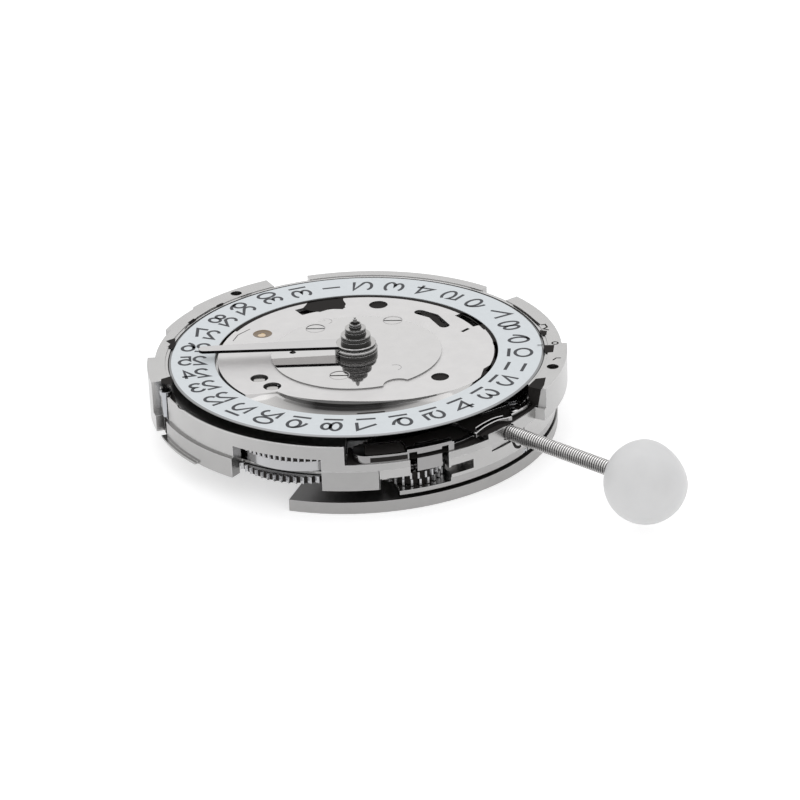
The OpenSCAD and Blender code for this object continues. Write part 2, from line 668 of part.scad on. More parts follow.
// The fourth wheel and the long seconds pinion through the centre
module seconds_pinion() {
    color("silver") {
        disc(seconds_seat_d/2, [train_bridge_z[1] - 0.5, seconds_top - 0.12]);
        disc(0.07, [seconds_top - 0.14, seconds_top]);
        toothed(seconds_pinion_r, 10, third_z, seconds_phase);
        disc(0.25, [fourth_z[0], centre_wheel_z[0] - gap]);
    }
    color("goldenrod") toothed(fourth_r, 60, fourth_z);
}

module barrel_drum() {
    color("silver") at(barrel_at) difference() {
        union() {
            toothed(barrel_r, 77, barrel_z, barrel_phase);
            disc(barrel_r - 0.1, [drum_low, barrel_z[0] + eps]);
        }
        disc(barrel_r - 0.45, [drum_low + 0.15, gear_top + eps]);
        disc(arbor_r + fit, [drum_low - eps, drum_low + 0.2]);
    }
}

module barrel_lid() {
    color("silver") at(barrel_at) disc(barrel_r - 0.45, [gear_top - 0.15, gear_top], arbor_r + fit);
}

module mainspring() {
    color("lightsteelblue") at(barrel_at) spiral(1.1, 9, 0.36, 0.12, [drum_low + 0.2, gear_top - 0.2]);
}

module barrel_arbor() {
    color("silver") at(barrel_at) {
        disc(arbor_r, [ratchet_z[0], web_top - gap]);
        disc(1.02, [drum_low + 0.2, gear_top - 0.2]);
    }
}

module ratchet_wheel() {
    color("silver") at(barrel_at) difference() {
        saw_toothed(ratchet_r + tip, 66, ratchet_z, 0.28);
        disc(arbor_r, [ratchet_z[0] - eps, ratchet_z[1] + eps]);
    }
}

module great_wheel() {
    color("goldenrod") at(great_at) {
        toothed(great_r, 60, great_z, great_phase);
        toothed(great_pinion_r, 11, [barrel_z[0], great_z[0] + eps]);
        arbor([barrel_bridge_z[0] + gap, web_top - gap], [barrel_bridge_z[1] + gap/2, web_low - gap/2]);
    }
}

// An arbor with fine pivots: the whole length, and the thicker middle
module arbor(whole, middle) {
    disc(pivot_r, whole);
    disc(0.16, middle);
}

module third_wheel() {
    color("goldenrod") at(third_at) {
        toothed(third_r, 60, third_z);
        toothed(third_pinion_r, 10, great_z);
        toothed(centre_drive_r, 8, [centre_wheel_z[0] - gap, great_z[0] + eps], drive_phase);
        arbor([train_bridge_z[1] - 0.35, web_top - gap], [train_bridge_z[1] + gap/2, web_low - gap/2]);
    }
}

module escape_wheel() {
    color("silver") at(escape_at) {
        saw_toothed(escape_r, 20, escape_z, 0.55);
        toothed(escape_pinion_r, 9, [escape_z[1] - eps, fourth_z[1]], escape_phase);
        arbor([train_bridge_z[1] - 0.35, fourth_z[1] + gap + 0.25],
            [train_bridge_z[1] + gap/2, fourth_z[1] + gap/2]);
    }
}

module pallet_fork() {
    color("silver") at(fork_at) rotate([0, 0, fork_angle]) {
        bar([0, 0], [fork_length, 0], 0.3, escape_z);
        for (s = [-1, 1]) {
            bar([0, 0], stone_at(s), 0.28, escape_z);
            bar([fork_length, 0], [fork_length + 0.3, 0.25*s], 0.16, escape_z);
        }
        disc(pivot_r, [fork_bridge_z[0], escape_z[1] + gap + 0.25]);
        disc(0.14, [fork_bridge_z[1] + 0.02, escape_z[1] + gap/2]);
    }
}

module pallet_stones() {
    color("firebrick") at(fork_at) rotate([0, 0, fork_angle]) for (s = [-1, 1])
        translate([stone_at(s)[0] - 0.32, stone_at(s)[1] - 0.08, escape_z[0]]) cube([0.18, 0.16, wheel_t]);
}

module pallet_bridge() {
    color("silver") difference() {
        union() {
            bar(fork_at, fork_foot, 1.2, fork_bridge_z);
            at(fork_foot) disc(0.5, [fork_bridge_z[1] - eps, web_low]);
        }
        at(fork_at) disc(pivot_r + fit, [fork_bridge_z[0] - eps, fork_bridge_z[1] + eps]);
    }
}

module balance_wheel() {
    color("goldenrod") at(balance_at) {
        disc(balance_r, balance_z, balance_r - 0.45);
        for (a = [0, 120, 240]) bar([0.2, 0], [0, 0], 0.2, balance_z);
        for (a = [20, 140, 260]) rotate([0, 0, a]) translate([0.2, -0.2, balance_z[0]])
            cube([balance_r - 0.5, 0.4, balance_t]);
    }
}

module balance_staff() {
    color("silver") at(balance_at) {
        disc(pivot_r, [cock_z[1] - 0.3, escape_z[1] + gap + 0.25]);
        disc(staff_r, [cock_z[1] + 0.02, balance_z[0]]);
        disc(staff_r, [balance_z[1], escape_z[1] + gap/2]);
        disc(0.7, [escape_z[0] - 0.17, escape_z[0] - gap]);
        at(polar(0.6, fork_angle + 180)) disc(0.05, [escape_z[0] - 0.1, escape_z[1]]);
    }
}

module hairspring() {
    color("steelblue") at(balance_at) {
        spiral(collet_r, spring_turns, spring_pitch, spring_w, spring_z);
        disc(collet_r, spring_z, staff_r);
    }
}

module balance_cock() {
    color("silver") difference() {
        union() {
            bar(balance_at, cock_foot, 1.8, cock_z);
            at(cock_foot) disc(0.85, [cock_z[1] - eps, plate_low]);
        }
        at(balance_at) disc(jewel_r, [cock_z[0] - eps, cock_z[1] + eps]);
        at(cock_foot) disc(0.35, [cock_z[0] - eps, plate_low + eps]);
        at(cock_foot) disc(head_room_r, [cock_z[0] - eps, cock_z[0] + 0.25]);
    }
}

// The carrier under the cock, and the stud at the hairspring's outer end
module hairspring_stud() {
    stud_at = balance_at + [stud_reach, 0];
    color("silver") difference() {
        union() {
            bar(balance_at, stud_at, 0.5, [cock_z[0] - 0.15, cock_z[0]]);
            at(stud_at) disc(stud_r, [cock_z[0] - 0.1, spring_z[1]]);
        }
        at(balance_at) disc(0.3, [cock_z[0] - 1, 0]);
    }
}

module bridge_jewels() {
    at(third_at) jewel([train_bridge_z[1] - 0.35, train_bridge_z[1]]);
    at(escape_at) jewel([train_bridge_z[1] - 0.35, train_bridge_z[1]]);
    at(great_at) jewel(barrel_bridge_z);
    at(balance_at) jewel([cock_z[1] - 0.35, cock_z[1]]);
}

module plate_jewels() {
    for (p = [great_at, third_at]) at(p) jewel([web_low, web_top - 0.02]);
    at(escape_at) jewel([fourth_z[1] + gap, fourth_z[1] + gap + jewel_t]);
    for (p = [fork_at, balance_at]) at(p) jewel([escape_z[1] + gap, escape_z[1] + gap + jewel_t]);
    color("firebrick") at(date_wheel_at) disc(jewel_r + 0.15, [cover_low, cover_top - 0.02], post_r + fit);
}

module barrel_bridge() {
    color("silver") difference() {
        union() {
            intersection() {
                disc(body_r, [bridge_low, plate_low]);
                at(bridge_at) disc(bridge_split, [bridge_low - eps, plate_low + eps]);
            }
            band(front_wall_at[0], front_wall_at[1], wall_r - 0.05, body_r, [bridge_low, plate_low]);
            band(block_at[0], block_at[1], wall_r - 0.05, block_r, [bridge_low, plate_low]);
            band(lip_at[0], lip_at[1], body_r + gap, flange_r - 0.25, lip_z);
        }
        intersection() {
            at(bridge_at) disc(bridge_split + 1, [barrel_bridge_z[1], plate_low + eps]);
            disc(wall_r, [barrel_bridge_z[1], plate_low + eps]);
        }
        at(barrel_at) disc(barrel_r + tooth_room, [barrel_bridge_z[1], plate_low + eps]);
        at(barrel_at) disc(ratchet_r + tooth_room, [bridge_low - eps, barrel_bridge_z[0]]);
        at(barrel_at) disc(arbor_r + fit, [bridge_low - eps, plate_low]);
        at(great_at) disc(jewel_r, [bridge_low - eps, barrel_bridge_z[1] + eps]);
        bar(click_pivot, click_tip, click_w + 0.8, [bridge_low - eps, barrel_bridge_z[0]]);
        winding_room();
        band(window_at[0], window_at[1], wall_r + 0.3, beyond, [bridge_low - eps, plate_low + eps]);
        for (p = bridge_screws) at(p) screw_room();
        at(click_pivot) disc(click_screw_r, [barrel_bridge_z[0] - eps, barrel_bridge_z[0] + 0.1]);
    }
}

// The room the winding wheels and pinions take out of the bridges
module winding_room() {
    at(transfer_at) disc(transfer_r + tip + 0.1, [bridge_low - eps, ratchet_z[1] + gap]);
    at(crown_wheel_at) disc(crown_wheel_r + tip + 0.1, [bridge_low - eps, ratchet_z[1] + gap]);
    translate([slot_x, -slot_half, stem_z - slot_half]) cube([pinion_x[1] + gap - slot_x, 2*slot_half, 3]);
    translate([tail_housing_x - gap, -1.65, stem_z - 0.75 - gap]) cube([body_r, 3.3, 3]);
    band(slit_at[0], slit_at[1], wall_r - 0.1, beyond, [bridge_low - eps, slit_top]);
    band(slit_at[1] - 0.1, slit_at[2], wall_r - 0.12, beyond, [ratchet_z[0], slit_top + 0.1]);
    band(notch_at[0], notch_at[1], wall_r - 0.1, beyond, [ratchet_z[0], plate_low + eps]);
}

module screw_room() {
    disc(shank_r, [bridge_low - eps, plate_low + eps]);
    disc(head_room_r, [bridge_low - eps, bridge_low + 0.3]);
}

module train_bridge() {
    color("silver") difference() {
        union() {
            disc(body_r, [bridge_low, plate_low]);
            band(185, left_flange_end, wall_r, flange_r - 0.1, [bridge_low + 0.2, plate_low]);
        }
        difference() {
            disc(wall_r, [train_bridge_z[1], plate_low + eps]);
            for (p = bridge_screws) at(p*0.985) disc(0.8, [bridge_low, 0]);
        }
        at(bridge_at) disc(bridge_split + gap, [bridge_low - eps, plate_low + eps]);
        band(front_wall_at[0], slit_at[0] - 0.05, wall_r - 0.05 - gap, beyond, [bridge_low - eps, plate_low + eps]);
        band(block_at[0] - 0.3, 262, wall_r - 0.05 - gap, beyond, [bridge_low - eps, plate_low + eps]);
        at(balance_at) disc(balance_r + 0.25, [bridge_low - eps, plate_low + eps]);
        bar(balance_at, cock_foot, 1.9, [bridge_low - eps, plate_low + eps]);
        at(cock_foot) disc(1, [bridge_low - eps, plate_low + eps]);
        disc(seconds_seat_d/2 + fit, [bridge_low - eps, 0]);
        for (p = [third_at, escape_at]) at(p) disc(jewel_r, [train_bridge_z[1] - 0.35, 0]);
        winding_room();
        for (p = bridge_screws) at(p) screw_room();
        for (p = auto_screws) at(p) disc(shank_r, [bridge_low - eps, bridge_low + 0.8]);
        at(crown_wheel_at) disc(crown_screw_r, [bridge_low, train_bridge_z[1] + eps]);
        at(transfer_at) disc(transfer_screw_r, [bridge_low, train_bridge_z[1] + eps]);
    }
}

// A slotted screw under a bridge: its head's height, its head's depth and its tip's height
module bridge_screw(low, head_t, tip_z, r = shank_r) {
    difference() {
        disc(head_r, [low + 0.02, low + head_t]);
        translate([-1, -0.08, low]) cube([2, 0.16, 0.12]);
    }
    disc(r, [low + head_t, tip_z]);
}

module bridge_screws() {
    color("lightsteelblue") {
        for (p = bridge_screws) at(p) bridge_screw(bridge_low, 0.3, plate_low + 0.6);
        for (p = auto_screws) at(p) bridge_screw(auto_low, 0.25, bridge_low + 0.7);
        at(cock_foot) bridge_screw(cock_z[0], 0.25, plate_low, 0.35);
    }
}

// The click that holds the ratchet wheel
module click() {
    color("silver") difference() {
        union() {
            bar(click_pivot, click_tip, click_w, ratchet_z);
            at(click_pivot) disc(0.45, ratchet_z);
        }
        at(click_pivot) disc(click_screw_r + fit, [ratchet_z[0] - eps, ratchet_z[1] + eps]);
    }
}

module crown_wheel() {
    color("silver") at(crown_wheel_at) difference() {
        toothed(crown_wheel_r, 26, [ratchet_z[0], stem_z - pinion_r - tip - 0.01], crown_phase, tip, 0.2);
        disc(crown_screw_r + fit, [ratchet_z[0] - eps, ratchet_z[1] + eps]);
    }
}

// The transfer wheel, with the coarser teeth of the automatic winding below it
module transfer_wheel() {
    color("silver") at(transfer_at) difference() {
        union() {
            toothed(transfer_r, 26, ratchet_z, transfer_phase, tip, 0.2);
            toothed(transfer_r - 0.03, 23, [driver_low, ratchet_z[0] - gap], 0, tip, 0.25);
            disc(transfer_r - 0.4, [ratchet_z[0] - gap - eps, ratchet_z[0] + eps]);
        }
        disc(transfer_screw_r + fit, [ratchet_z[0] - eps, ratchet_z[1] + eps]);
        disc(transfer_cap_r + 0.1, [driver_low - eps, ratchet_z[0]]);
    }
}

// A shouldered screw that a winding wheel or the click turns on
module shoulder_screw(p, r, cap_r) {
    at(p) {
        disc(r, [ratchet_z[0] - 0.02, barrel_bridge_z[0] + 0.1]);
        disc(cap_r, [ratchet_z[0] - 0.16, ratchet_z[0] - 0.02]);
    }
}

module winding_screws() {
    color("lightsteelblue") {
        shoulder_screw(crown_wheel_at, crown_screw_r, 0.7);
        shoulder_screw(transfer_at, transfer_screw_r, transfer_cap_r);
        shoulder_screw(click_pivot, click_screw_r, 0.4);
    }
}

module winding_pinion() {
    color("silver") difference() {
        translate([pinion_x[0], 0, stem_z]) rotate([0, 90, 0])
            toothed(pinion_r, 14, [0, pinion_x[1] - pinion_x[0]], 0, tip, 0.15);
        along_stem(pilot_d/2 + fit, [pinion_x[0] - eps, pinion_x[1] + eps]);
    }
}

module sliding_pinion() {
    long = slide_x[1] - slide_x[0];
    color("silver") difference() {
        union() {
            along_stem(0.7, slide_x);
            for (x = [[0, 0.6], [long - 0.5, long]]) translate([slide_x[0], 0, stem_z]) rotate([0, 90, 0])
                toothed(pinion_r - 0.05, 16, x, 0, tip, 0.15);
        }
        along_stem(stem_square*0.7072 + fit, [slide_x[0] - eps, slide_x[1] + eps]);
    }
}

module winding_stem() {
    color("gray") {
        along_stem(stem_tail_r, [stem_tail, slide_x[0] - 0.9]);
        translate([slide_x[0] - 0.9, -stem_square/2, stem_z - stem_square/2])
            cube([pinion_x[0] + 0.1 - slide_x[0] + 0.9, stem_square, stem_square]);
        along_stem(pilot_d/2, [pinion_x[0] + 0.1, groove_x[0]]);
        along_stem(0.35, [groove_x[0] - eps, groove_x[1] + eps]);
        along_stem(pilot_d/2, [groove_x[1], collar_x]);
        along_stem(thread_d/2, [collar_x - eps, knob_reach - knob_d/2 + 1.6]);
    }
}

module setting_knob() {
    color("white") difference() {
        translate([knob_reach, 0, stem_z]) sphere(r = knob_d/2);
        along_stem(thread_d/2, [knob_reach - knob_d, knob_reach - knob_d/2 + 1.6]);
    }
}

module setting_lever() {
    color("silver") {
        difference() {
            union() {
                bar(lever_pivot, [groove_mid, 0.1], 0.7, lever_z);
                bar(lever_pivot, lever_pivot + [-1.2, 0.55], 0.6, lever_z);
                at(lever_pivot) disc(0.6, lever_z);
            }
            at(lever_pivot) disc(0.3 + fit, [lever_z[0] - eps, lever_z[1] + eps]);
        }
        at([groove_mid, 0]) disc(0.12, [stem_z + 0.42, lever_z[0] + eps]);
    }
}

module yoke() {
    color("silver") difference() {
        union() {
            bar(yoke_pivot, yoke_tip, 0.5, lever_z);
            at(yoke_pivot) disc(0.6, lever_z);
            at(yoke_tip) disc(0.1, [lever_z[0] - 0.1, lever_z[0] + eps]);
        }
        at(yoke_pivot) disc(0.3 + fit, [lever_z[0] - eps, lever_z[1] + eps]);
    }
}

// The screws and the post that the levers and the date jumper turn on
module lever_posts() {
    color("lightsteelblue") for (p = [lever_pivot, yoke_pivot]) at(p) {
        disc(0.3, [lever_z[0] - 0.5, lever_z[1] + 0.03]);
        disc(0.5, [lever_z[1] + 0.03, lever_z[1] + 0.15]);
    }
    color("silver") at(jumper_pivot) disc(0.16, [web_top, cover_low]);
}

// The polished jumper plate beside the stem that keeps the setting lever in its two places
module lever_jumper() {
    color("gainsboro") {
        // the thick plate, its arm over the notch, the tab in the notch and the leaf beyond it
        band(jumper_end, notch_at[0] - 0.1, jumper_mid - 0.9, jumper_mid + 0.9, [recess_floor, arm_low + 0.04]);
        at(polar(jumper_mid, jumper_end)) disc(0.905, [recess_floor, arm_low + 0.04]);
        band(notch_at[0] - 0.6, notch_at[1] + 1.3, wall_r + 0.6, body_r - 0.1, [arm_low, arm_low + 0.22]);
        band(notch_at[0] + 2.6, notch_at[1] - 1.2, wall_r + 0.1, body_r - 0.42, [slit_top + 0.02, arm_low + 0.1]);
        band(notch_at[1] + 0.3, notch_at[1] + 2, wall_r + 0.35, body_r - 0.15, [recess_floor, arm_low + 0.12]);
        strip([for (a = [340, 344.5, 349]) polar(wall_r + 0.6 - (a - 340)*0.03, a)], 0.35,
            [recess_floor, recess_floor + 0.26]);
    }
}

module auto_bridge() {
    color("silver") difference() {
        union() {
            intersection() {
                union() {
                    disc(body_r - 0.1, auto_bridge_z);
                    disc(body_r - 0.1, [auto_low, bridge_low], wall_r);
                }
                slice(324.4, 130, beyond, [auto_low - eps, bridge_low + eps]);
            }
            disc(4, auto_bridge_z);
            disc(1, [auto_low, bridge_low]);
        }
        disc(rotor_screw_r, [auto_low - eps, bridge_low + eps]);
        for (p = concat(reverser_at, [reduction_at])) at(p) disc(0.2 + fit, [auto_low - eps, auto_top]);
        for (p = auto_screws) at(p) {
            disc(shank_r, [auto_low - eps, bridge_low + eps]);
            disc(head_room_r, [auto_low - eps, auto_low + 0.25]);
        }
        at(balance_at) disc(balance_r + 0.25, [auto_low - eps, 0]);
        at(crown_wheel_at) disc(1, [auto_top - 0.3, 0]);
        at(transfer_at) disc(transfer_r + tooth_room, [auto_bridge_z[1], 0]);
        band(320, slit_at[1], wall_r - 0.1, beyond, [auto_bridge_z[1], 0]);
    }
}

module reverser(i) {
    color("mediumvioletred") at(reverser_at[i]) {
        toothed(reverser_r, 24, gear_z, mesh(centre, 46, 0, reverser_at[i], 24));
        disc(0.2, [auto_low - gap - eps, auto_top]);
        toothed(reverser_pinion_r, 16, reverser_z, mesh(reduction_at, 46, 0, reverser_at[i], 16));
    }
}

module reduction_wheel() {
    color("goldenrod") at(reduction_at) {
        toothed(reduction_r, 46, reverser_z);
        disc(0.2, [auto_low + gap, reverser_z[0] + eps]);
    }
}

module bearing_inner() {
    color("silver") difference() {
        disc(race_in_r, [hub_low, auto_low]);
        disc(rotor_screw_r, [hub_low - eps, auto_low + eps]);
    }
}

module bearing_balls() {
    color("white") for (i = [0:ball_count - 1]) rotate([0, 0, i*360/ball_count])
        translate([ball_path_r, 0, bearing_z]) sphere(r = ball_r);
}

module rotor_hub() {
    color("silver") difference() {
        union() {
            disc(3, [hub_low, rotor_top]);
            toothed(rotor_gear_r, 46, [rotor_top - eps, gear_z[1]]);
        }
        disc(race_out_r, [hub_low - eps, gear_z[1] + eps]);
    }
}

module rotor_screw() {
    color("lightsteelblue") {
        difference() {
            disc(0.95, [hub_low - 0.15, hub_low]);
            translate([-1, -0.1, hub_low - 0.15 - eps]) cube([2, 0.2, 0.1]);
        }
        disc(rotor_screw_r, [hub_low, bridge_low]);
    }
}

module rotor_plate() {
    color("silver") difference() {
        band(weight_start, weight_start + 180, 3, rotor_r - weight_w, rotor_plate_z);
        for (a = [weight_start + 45, weight_start + 90, weight_start + 135])
            at(polar(7, a)) disc(1.6, [rotor_plate_z[0] - eps, rotor_plate_z[1] + eps]);
    }
}

module rotor_weight() {
    color("silver") band(weight_start, weight_start + 180, rotor_r - weight_w, rotor_r, weight_z);
}

module dial_foot_clamps() {
    color("lightsteelblue") at(polar(body_r - 0.15, clamp_at)) {
        disc(0.28, [plate_low, -0.6]);
        disc(0.4, [-0.6, -0.35]);
    }
}

main_plate();
calendar_cover();
centre_cover();
cover_screws();
date_ring();
date_wheel();
date_jumper();
minute_wheel();
setting_wheel();
cannon_pinion();
centre_arbor();
hour_wheel();
gmt_wheel();
gmt_idler();
gmt_hand();
seconds_pinion();
barrel_drum();
barrel_lid();
mainspring();
barrel_arbor();
ratchet_wheel();
great_wheel();
third_wheel();
escape_wheel();
pallet_fork();
pallet_stones();
pallet_bridge();
balance_wheel();
balance_staff();
hairspring();
balance_cock();
hairspring_stud();
bridge_jewels();
plate_jewels();
barrel_bridge();
train_bridge();
bridge_screws();
click();
crown_wheel();
transfer_wheel();
winding_screws();
winding_pinion();
sliding_pinion();
winding_stem();
setting_knob();
setting_lever();
yoke();
lever_posts();
lever_jumper();
auto_bridge();
reduction_wheel();
bearing_inner();
bearing_balls();
rotor_hub();
rotor_screw();
rotor_plate();
rotor_weight();
dial_foot_clamps();
reverser(0);  // reverser_wheel_1
reverser(1);  // reverser_wheel_2
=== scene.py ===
"""Looks of an automatic GMT watch movement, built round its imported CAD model.
Lengths are in millimetres times MM, and bearings are in degrees about the centre axis."""
import bpy
import bmesh
import json
import math
from mathutils import Matrix, Vector


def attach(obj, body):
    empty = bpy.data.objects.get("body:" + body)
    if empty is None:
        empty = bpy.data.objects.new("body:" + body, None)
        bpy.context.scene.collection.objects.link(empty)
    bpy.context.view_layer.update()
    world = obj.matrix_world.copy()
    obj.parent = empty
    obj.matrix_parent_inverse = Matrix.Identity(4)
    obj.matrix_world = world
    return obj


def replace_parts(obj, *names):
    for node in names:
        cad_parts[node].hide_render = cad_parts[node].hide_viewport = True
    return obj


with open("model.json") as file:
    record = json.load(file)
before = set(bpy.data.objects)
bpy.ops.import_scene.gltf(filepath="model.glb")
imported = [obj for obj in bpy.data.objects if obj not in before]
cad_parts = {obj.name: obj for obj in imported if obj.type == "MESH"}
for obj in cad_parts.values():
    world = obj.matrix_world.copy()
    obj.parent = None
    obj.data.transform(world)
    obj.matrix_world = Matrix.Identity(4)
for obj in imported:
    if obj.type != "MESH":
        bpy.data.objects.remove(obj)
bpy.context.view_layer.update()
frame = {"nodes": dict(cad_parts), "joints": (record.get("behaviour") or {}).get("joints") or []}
cad = frame["nodes"]
MM = 0.001
scene = bpy.context.scene

# Camera: a long lens from the front right, a little above the dial side, level but for a slight roll.
# Its side steps are to the right, ahead and up as it sees the object.
AZIMUTH, ELEVATION, ROLL = 43.3, 25.87, -2.24
DISTANCE, SIDESTEP = 195.32, Vector((2.813, -7.649, -0.05))
LENS, FILM_WIDTH = 135, 36
NEAREST, FARTHEST = 0.01, 10


def make_camera():
    rise = math.radians(ELEVATION)
    back = Vector((0, -math.cos(rise), math.sin(rise)))
    turn = Matrix.Rotation(math.radians(AZIMUTH), 3, "Z")
    roll = Matrix.Rotation(math.radians(ROLL), 3, "Z")
    cam = bpy.data.objects.new("camera", bpy.data.cameras.new("camera"))
    scene.collection.objects.link(cam)
    cam.data.lens, cam.data.sensor_width = LENS, FILM_WIDTH
    cam.data.clip_start, cam.data.clip_end = NEAREST, FARTHEST
    cam.location = turn @ (back*DISTANCE + SIDESTEP)*MM
    cam.rotation_mode = "QUATERNION"
    look = (turn @ -back).to_track_quat("-Z", "Y").to_matrix() @ roll
    cam.rotation_quaternion = look.to_quaternion()
    scene.camera = cam


make_camera()


# Main plate: a turned and milled brass plate, nickel plated and finely brushed, with milled flange segments.
# Its finish is satin on flat faces, with painted shade on its walls and a painted highlight along its edges.
def new_group(name, ins, outs):
    """A node group with sockets of these names and kinds, and its input and output nodes."""
    tree = bpy.data.node_groups.new(name, "ShaderNodeTree")
    for way, sockets in (("INPUT", ins), ("OUTPUT", outs)):
        for label, kind in sockets.items():
            tree.interface.new_socket(name=label, in_out=way, socket_type="NodeSocket" + kind)
    return tree, tree.nodes.new("NodeGroupInput"), tree.nodes.new("NodeGroupOutput")


def node(tree, kind, settings=None, **inputs):
    """A node with its settings, and inputs given by name with _ for a space, or by number as i0, i1."""
    made = tree.nodes.new("ShaderNode" + kind)
    for key, value in (settings or {}).items():
        setattr(made, key, value)
    for key, value in inputs.items():
        socket = made.inputs[int(key[1:])] if key[1:].isdigit() else made.inputs[key.replace("_", " ")]
        if isinstance(value, bpy.types.NodeSocket):
            tree.links.new(value, socket)
        else:
            socket.default_value = value
    return made


def maths(tree, operation, first, second=0.0):
    return node(tree, "Math", {"operation": operation}, i0=first, i1=second).outputs[0]


def dot(tree, first, second):
    return node(tree, "VectorMath", {"operation": "DOT_PRODUCT"}, i0=first, i1=second).outputs["Value"]


def ranged(tree, value, start, end, low=0.0, high=1.0):
    """A value that goes from low to high while the given one goes from start to end."""
    made = node(tree, "MapRange", Value=value, From_Min=start, From_Max=end, To_Min=low, To_Max=high)
    return made.outputs[0]


def blend(tree, share, first, second, how="MIX"):
    """Two colours mixed, or one multiplied by the other."""
    made = node(tree, "Mix", {"data_type": "RGBA", "blend_type": how}, i0=share, i6=first, i7=second)
    return made.outputs[2]


def grain_group():
    """Fine brushing and handling marks as a normal, over softened edges."""
    tree, given, out = new_group("metal_grain", dict(Stretch="Vector", Depth="Float", Edge="Float"),
        dict(Normal="Vector", Marks="Float"))
    place = node(tree, "TexCoord")
    lines = node(tree, "Mapping", Vector=place.outputs["Object"], Scale=given.outputs["Stretch"])
    brush = node(tree, "TexNoise", Vector=lines.outputs[0], Scale=1.0, Detail=4.0, Roughness=0.6)
    spots = node(tree, "TexNoise", Vector=place.outputs["Object"], Scale=900.0, Detail=3.0, Roughness=0.55)
    soft = node(tree, "Bevel", {"samples": 4}, Radius=given.outputs["Edge"])
    bump = node(tree, "Bump", Strength=given.outputs["Depth"], Distance=0.01*MM,
        Height=maths(tree, "ADD", brush.outputs[0], spots.outputs[0]), Normal=soft.outputs[0])
    tree.links.new(bump.outputs[0], out.inputs["Normal"])
    tree.links.new(spots.outputs[0], out.inputs["Marks"])
    return tree


def wear_group():
    """One metal's colour: its flat faces with faint stains, its walls painted darker as shade and its edges
    painted in their own colour, mostly a bright highlight.
    """
    tree, given, out = new_group("metal_stains_and_painted_light", dict(Colour="Color", Bright="Color", Marks="Float",
        Edge="Float", Side="Float"), dict(Colour="Color"))
    soft = node(tree, "Bevel", {"samples": 4}, Radius=given.outputs["Edge"])
    true = node(tree, "NewGeometry")
    edge = ranged(tree, dot(tree, soft.outputs[0], true.outputs["Normal"]), 0.995, 0.9, 0.0, 0.8)
    stain = ranged(tree, given.outputs["Marks"], 0.35, 0.7, 0.96, 1.0)
    tone = blend(tree, 1.0, given.outputs["Colour"], stain, "MULTIPLY")
    upright = node(tree, "SeparateXYZ", Vector=true.outputs["Normal"])
    lie = maths(tree, "ABSOLUTE", upright.outputs["Z"])
    flat = ranged(tree, lie, 0.1, 0.8, given.outputs["Side"], 1.0)
    shade = blend(tree, 1.0, tone, flat, "MULTIPLY")
    tree.links.new(blend(tree, edge, shade, given.outputs["Bright"]), out.inputs["Colour"])
    return tree


def new_finish(name, roughness):
    """A new material, its node tree and its shader."""
    made = bpy.data.materials.new(name)
    made.use_nodes = True
    shader = made.node_tree.nodes["Principled BSDF"]
    shader.inputs["Roughness"].default_value = roughness
    return made, made.node_tree, shader


GRAIN, STAIN_AND_PAINTED_LIGHT = grain_group(), wear_group()
# How the grain is stretched: fine lines for brushed metal, and an even grain for polished steel
BRUSHED, EVEN = (300, 300, 6000), (900, 900, 900)


def metal(name, colour, bright, roughness, depth=0.1, stretch=BRUSHED, edge=0.05, side=1.0):
    """Metal by its flat colour and the colour painted on its edges, mostly as a highlight, its grain, its
    edges' width and how dark its walls are painted as shade.
    """
    made, tree, shader = new_finish(name, roughness)
    shader.inputs["Metallic"].default_value = 1.0
    grain = node(tree, "Group", {"node_tree": GRAIN}, Stretch=stretch, Depth=depth, Edge=edge*MM)
    wear = node(tree, "Group", {"node_tree": STAIN_AND_PAINTED_LIGHT}, Colour=(*colour, 1), Bright=(*bright, 1),
        Marks=grain.outputs["Marks"], Edge=edge*MM, Side=side)
    tree.links.new(grain.outputs["Normal"], shader.inputs["Normal"])
    tree.links.new(wear.outputs["Colour"], shader.inputs["Base Color"])
    return made


def finish(material, names):
    """Gives the CAD forms of these names one finish."""
    for name in names.split():
        cad[name].data.materials.clear()
        cad[name].data.materials.append(material)


NICKEL = metal("satin_nickel", (0.62, 0.615, 0.61), (0.86, 0.86, 0.86), 0.26, 0.16, side=0.74)
finish(NICKEL, "main_plate")


# Rim: the plate's flange and front wall, where the mill left cuts, steps and holes that lie in shade.
# Each is a flat mark of painted shade just over the metal, and the flange's two cut ends beside the stem are
# painted pale as light.
def coated(name, colour, roughness, bump=0.05, scale=2500.0, **sockets):
    """Paint, plastic or stone: a plain shader with a fine grained surface and a slight change of tone."""
    made, tree, shader = new_finish(name, roughness)
    place = node(tree, "TexCoord")
    spots = node(tree, "TexNoise", Vector=place.outputs["Object"], Scale=scale, Detail=3.0)
    stain = ranged(tree, spots.outputs[0], 0.3, 0.7, 0.96, 1.0)
    tree.links.new(blend(tree, 1.0, (*colour, 1), stain, "MULTIPLY"), shader.inputs["Base Color"])
    rough = node(tree, "Bump", Strength=bump, Distance=0.02*MM, Height=spots.outputs[0])
    tree.links.new(rough.outputs[0], shader.inputs["Normal"])
    for key, value in sockets.items():
        shader.inputs[key.replace("_", " ")].default_value = value
    return made


def polar(r, bearing, z=0.0):
    a = math.radians(bearing)
    return Vector((r*math.cos(a), r*math.sin(a), z))


def piece(name, mesh, material, body, smooth=True):
    """A named object that rides a body and takes a material slot's finish."""
    data = bpy.data.meshes.new(name)
    mesh.to_mesh(data)
    mesh.free()
    data.materials.append(material)
    if smooth:
        data.shade_smooth()
    made = bpy.data.objects.new(name, data)
    scene.collection.objects.link(made)
    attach(made, body)
    return made


def split_sharp(mesh, degrees):
    edges = [e for e in mesh.edges if len(e.link_faces) == 2 and e.calc_face_angle(0) > math.radians(degrees)]
    bmesh.ops.split_edges(mesh, edges=edges)


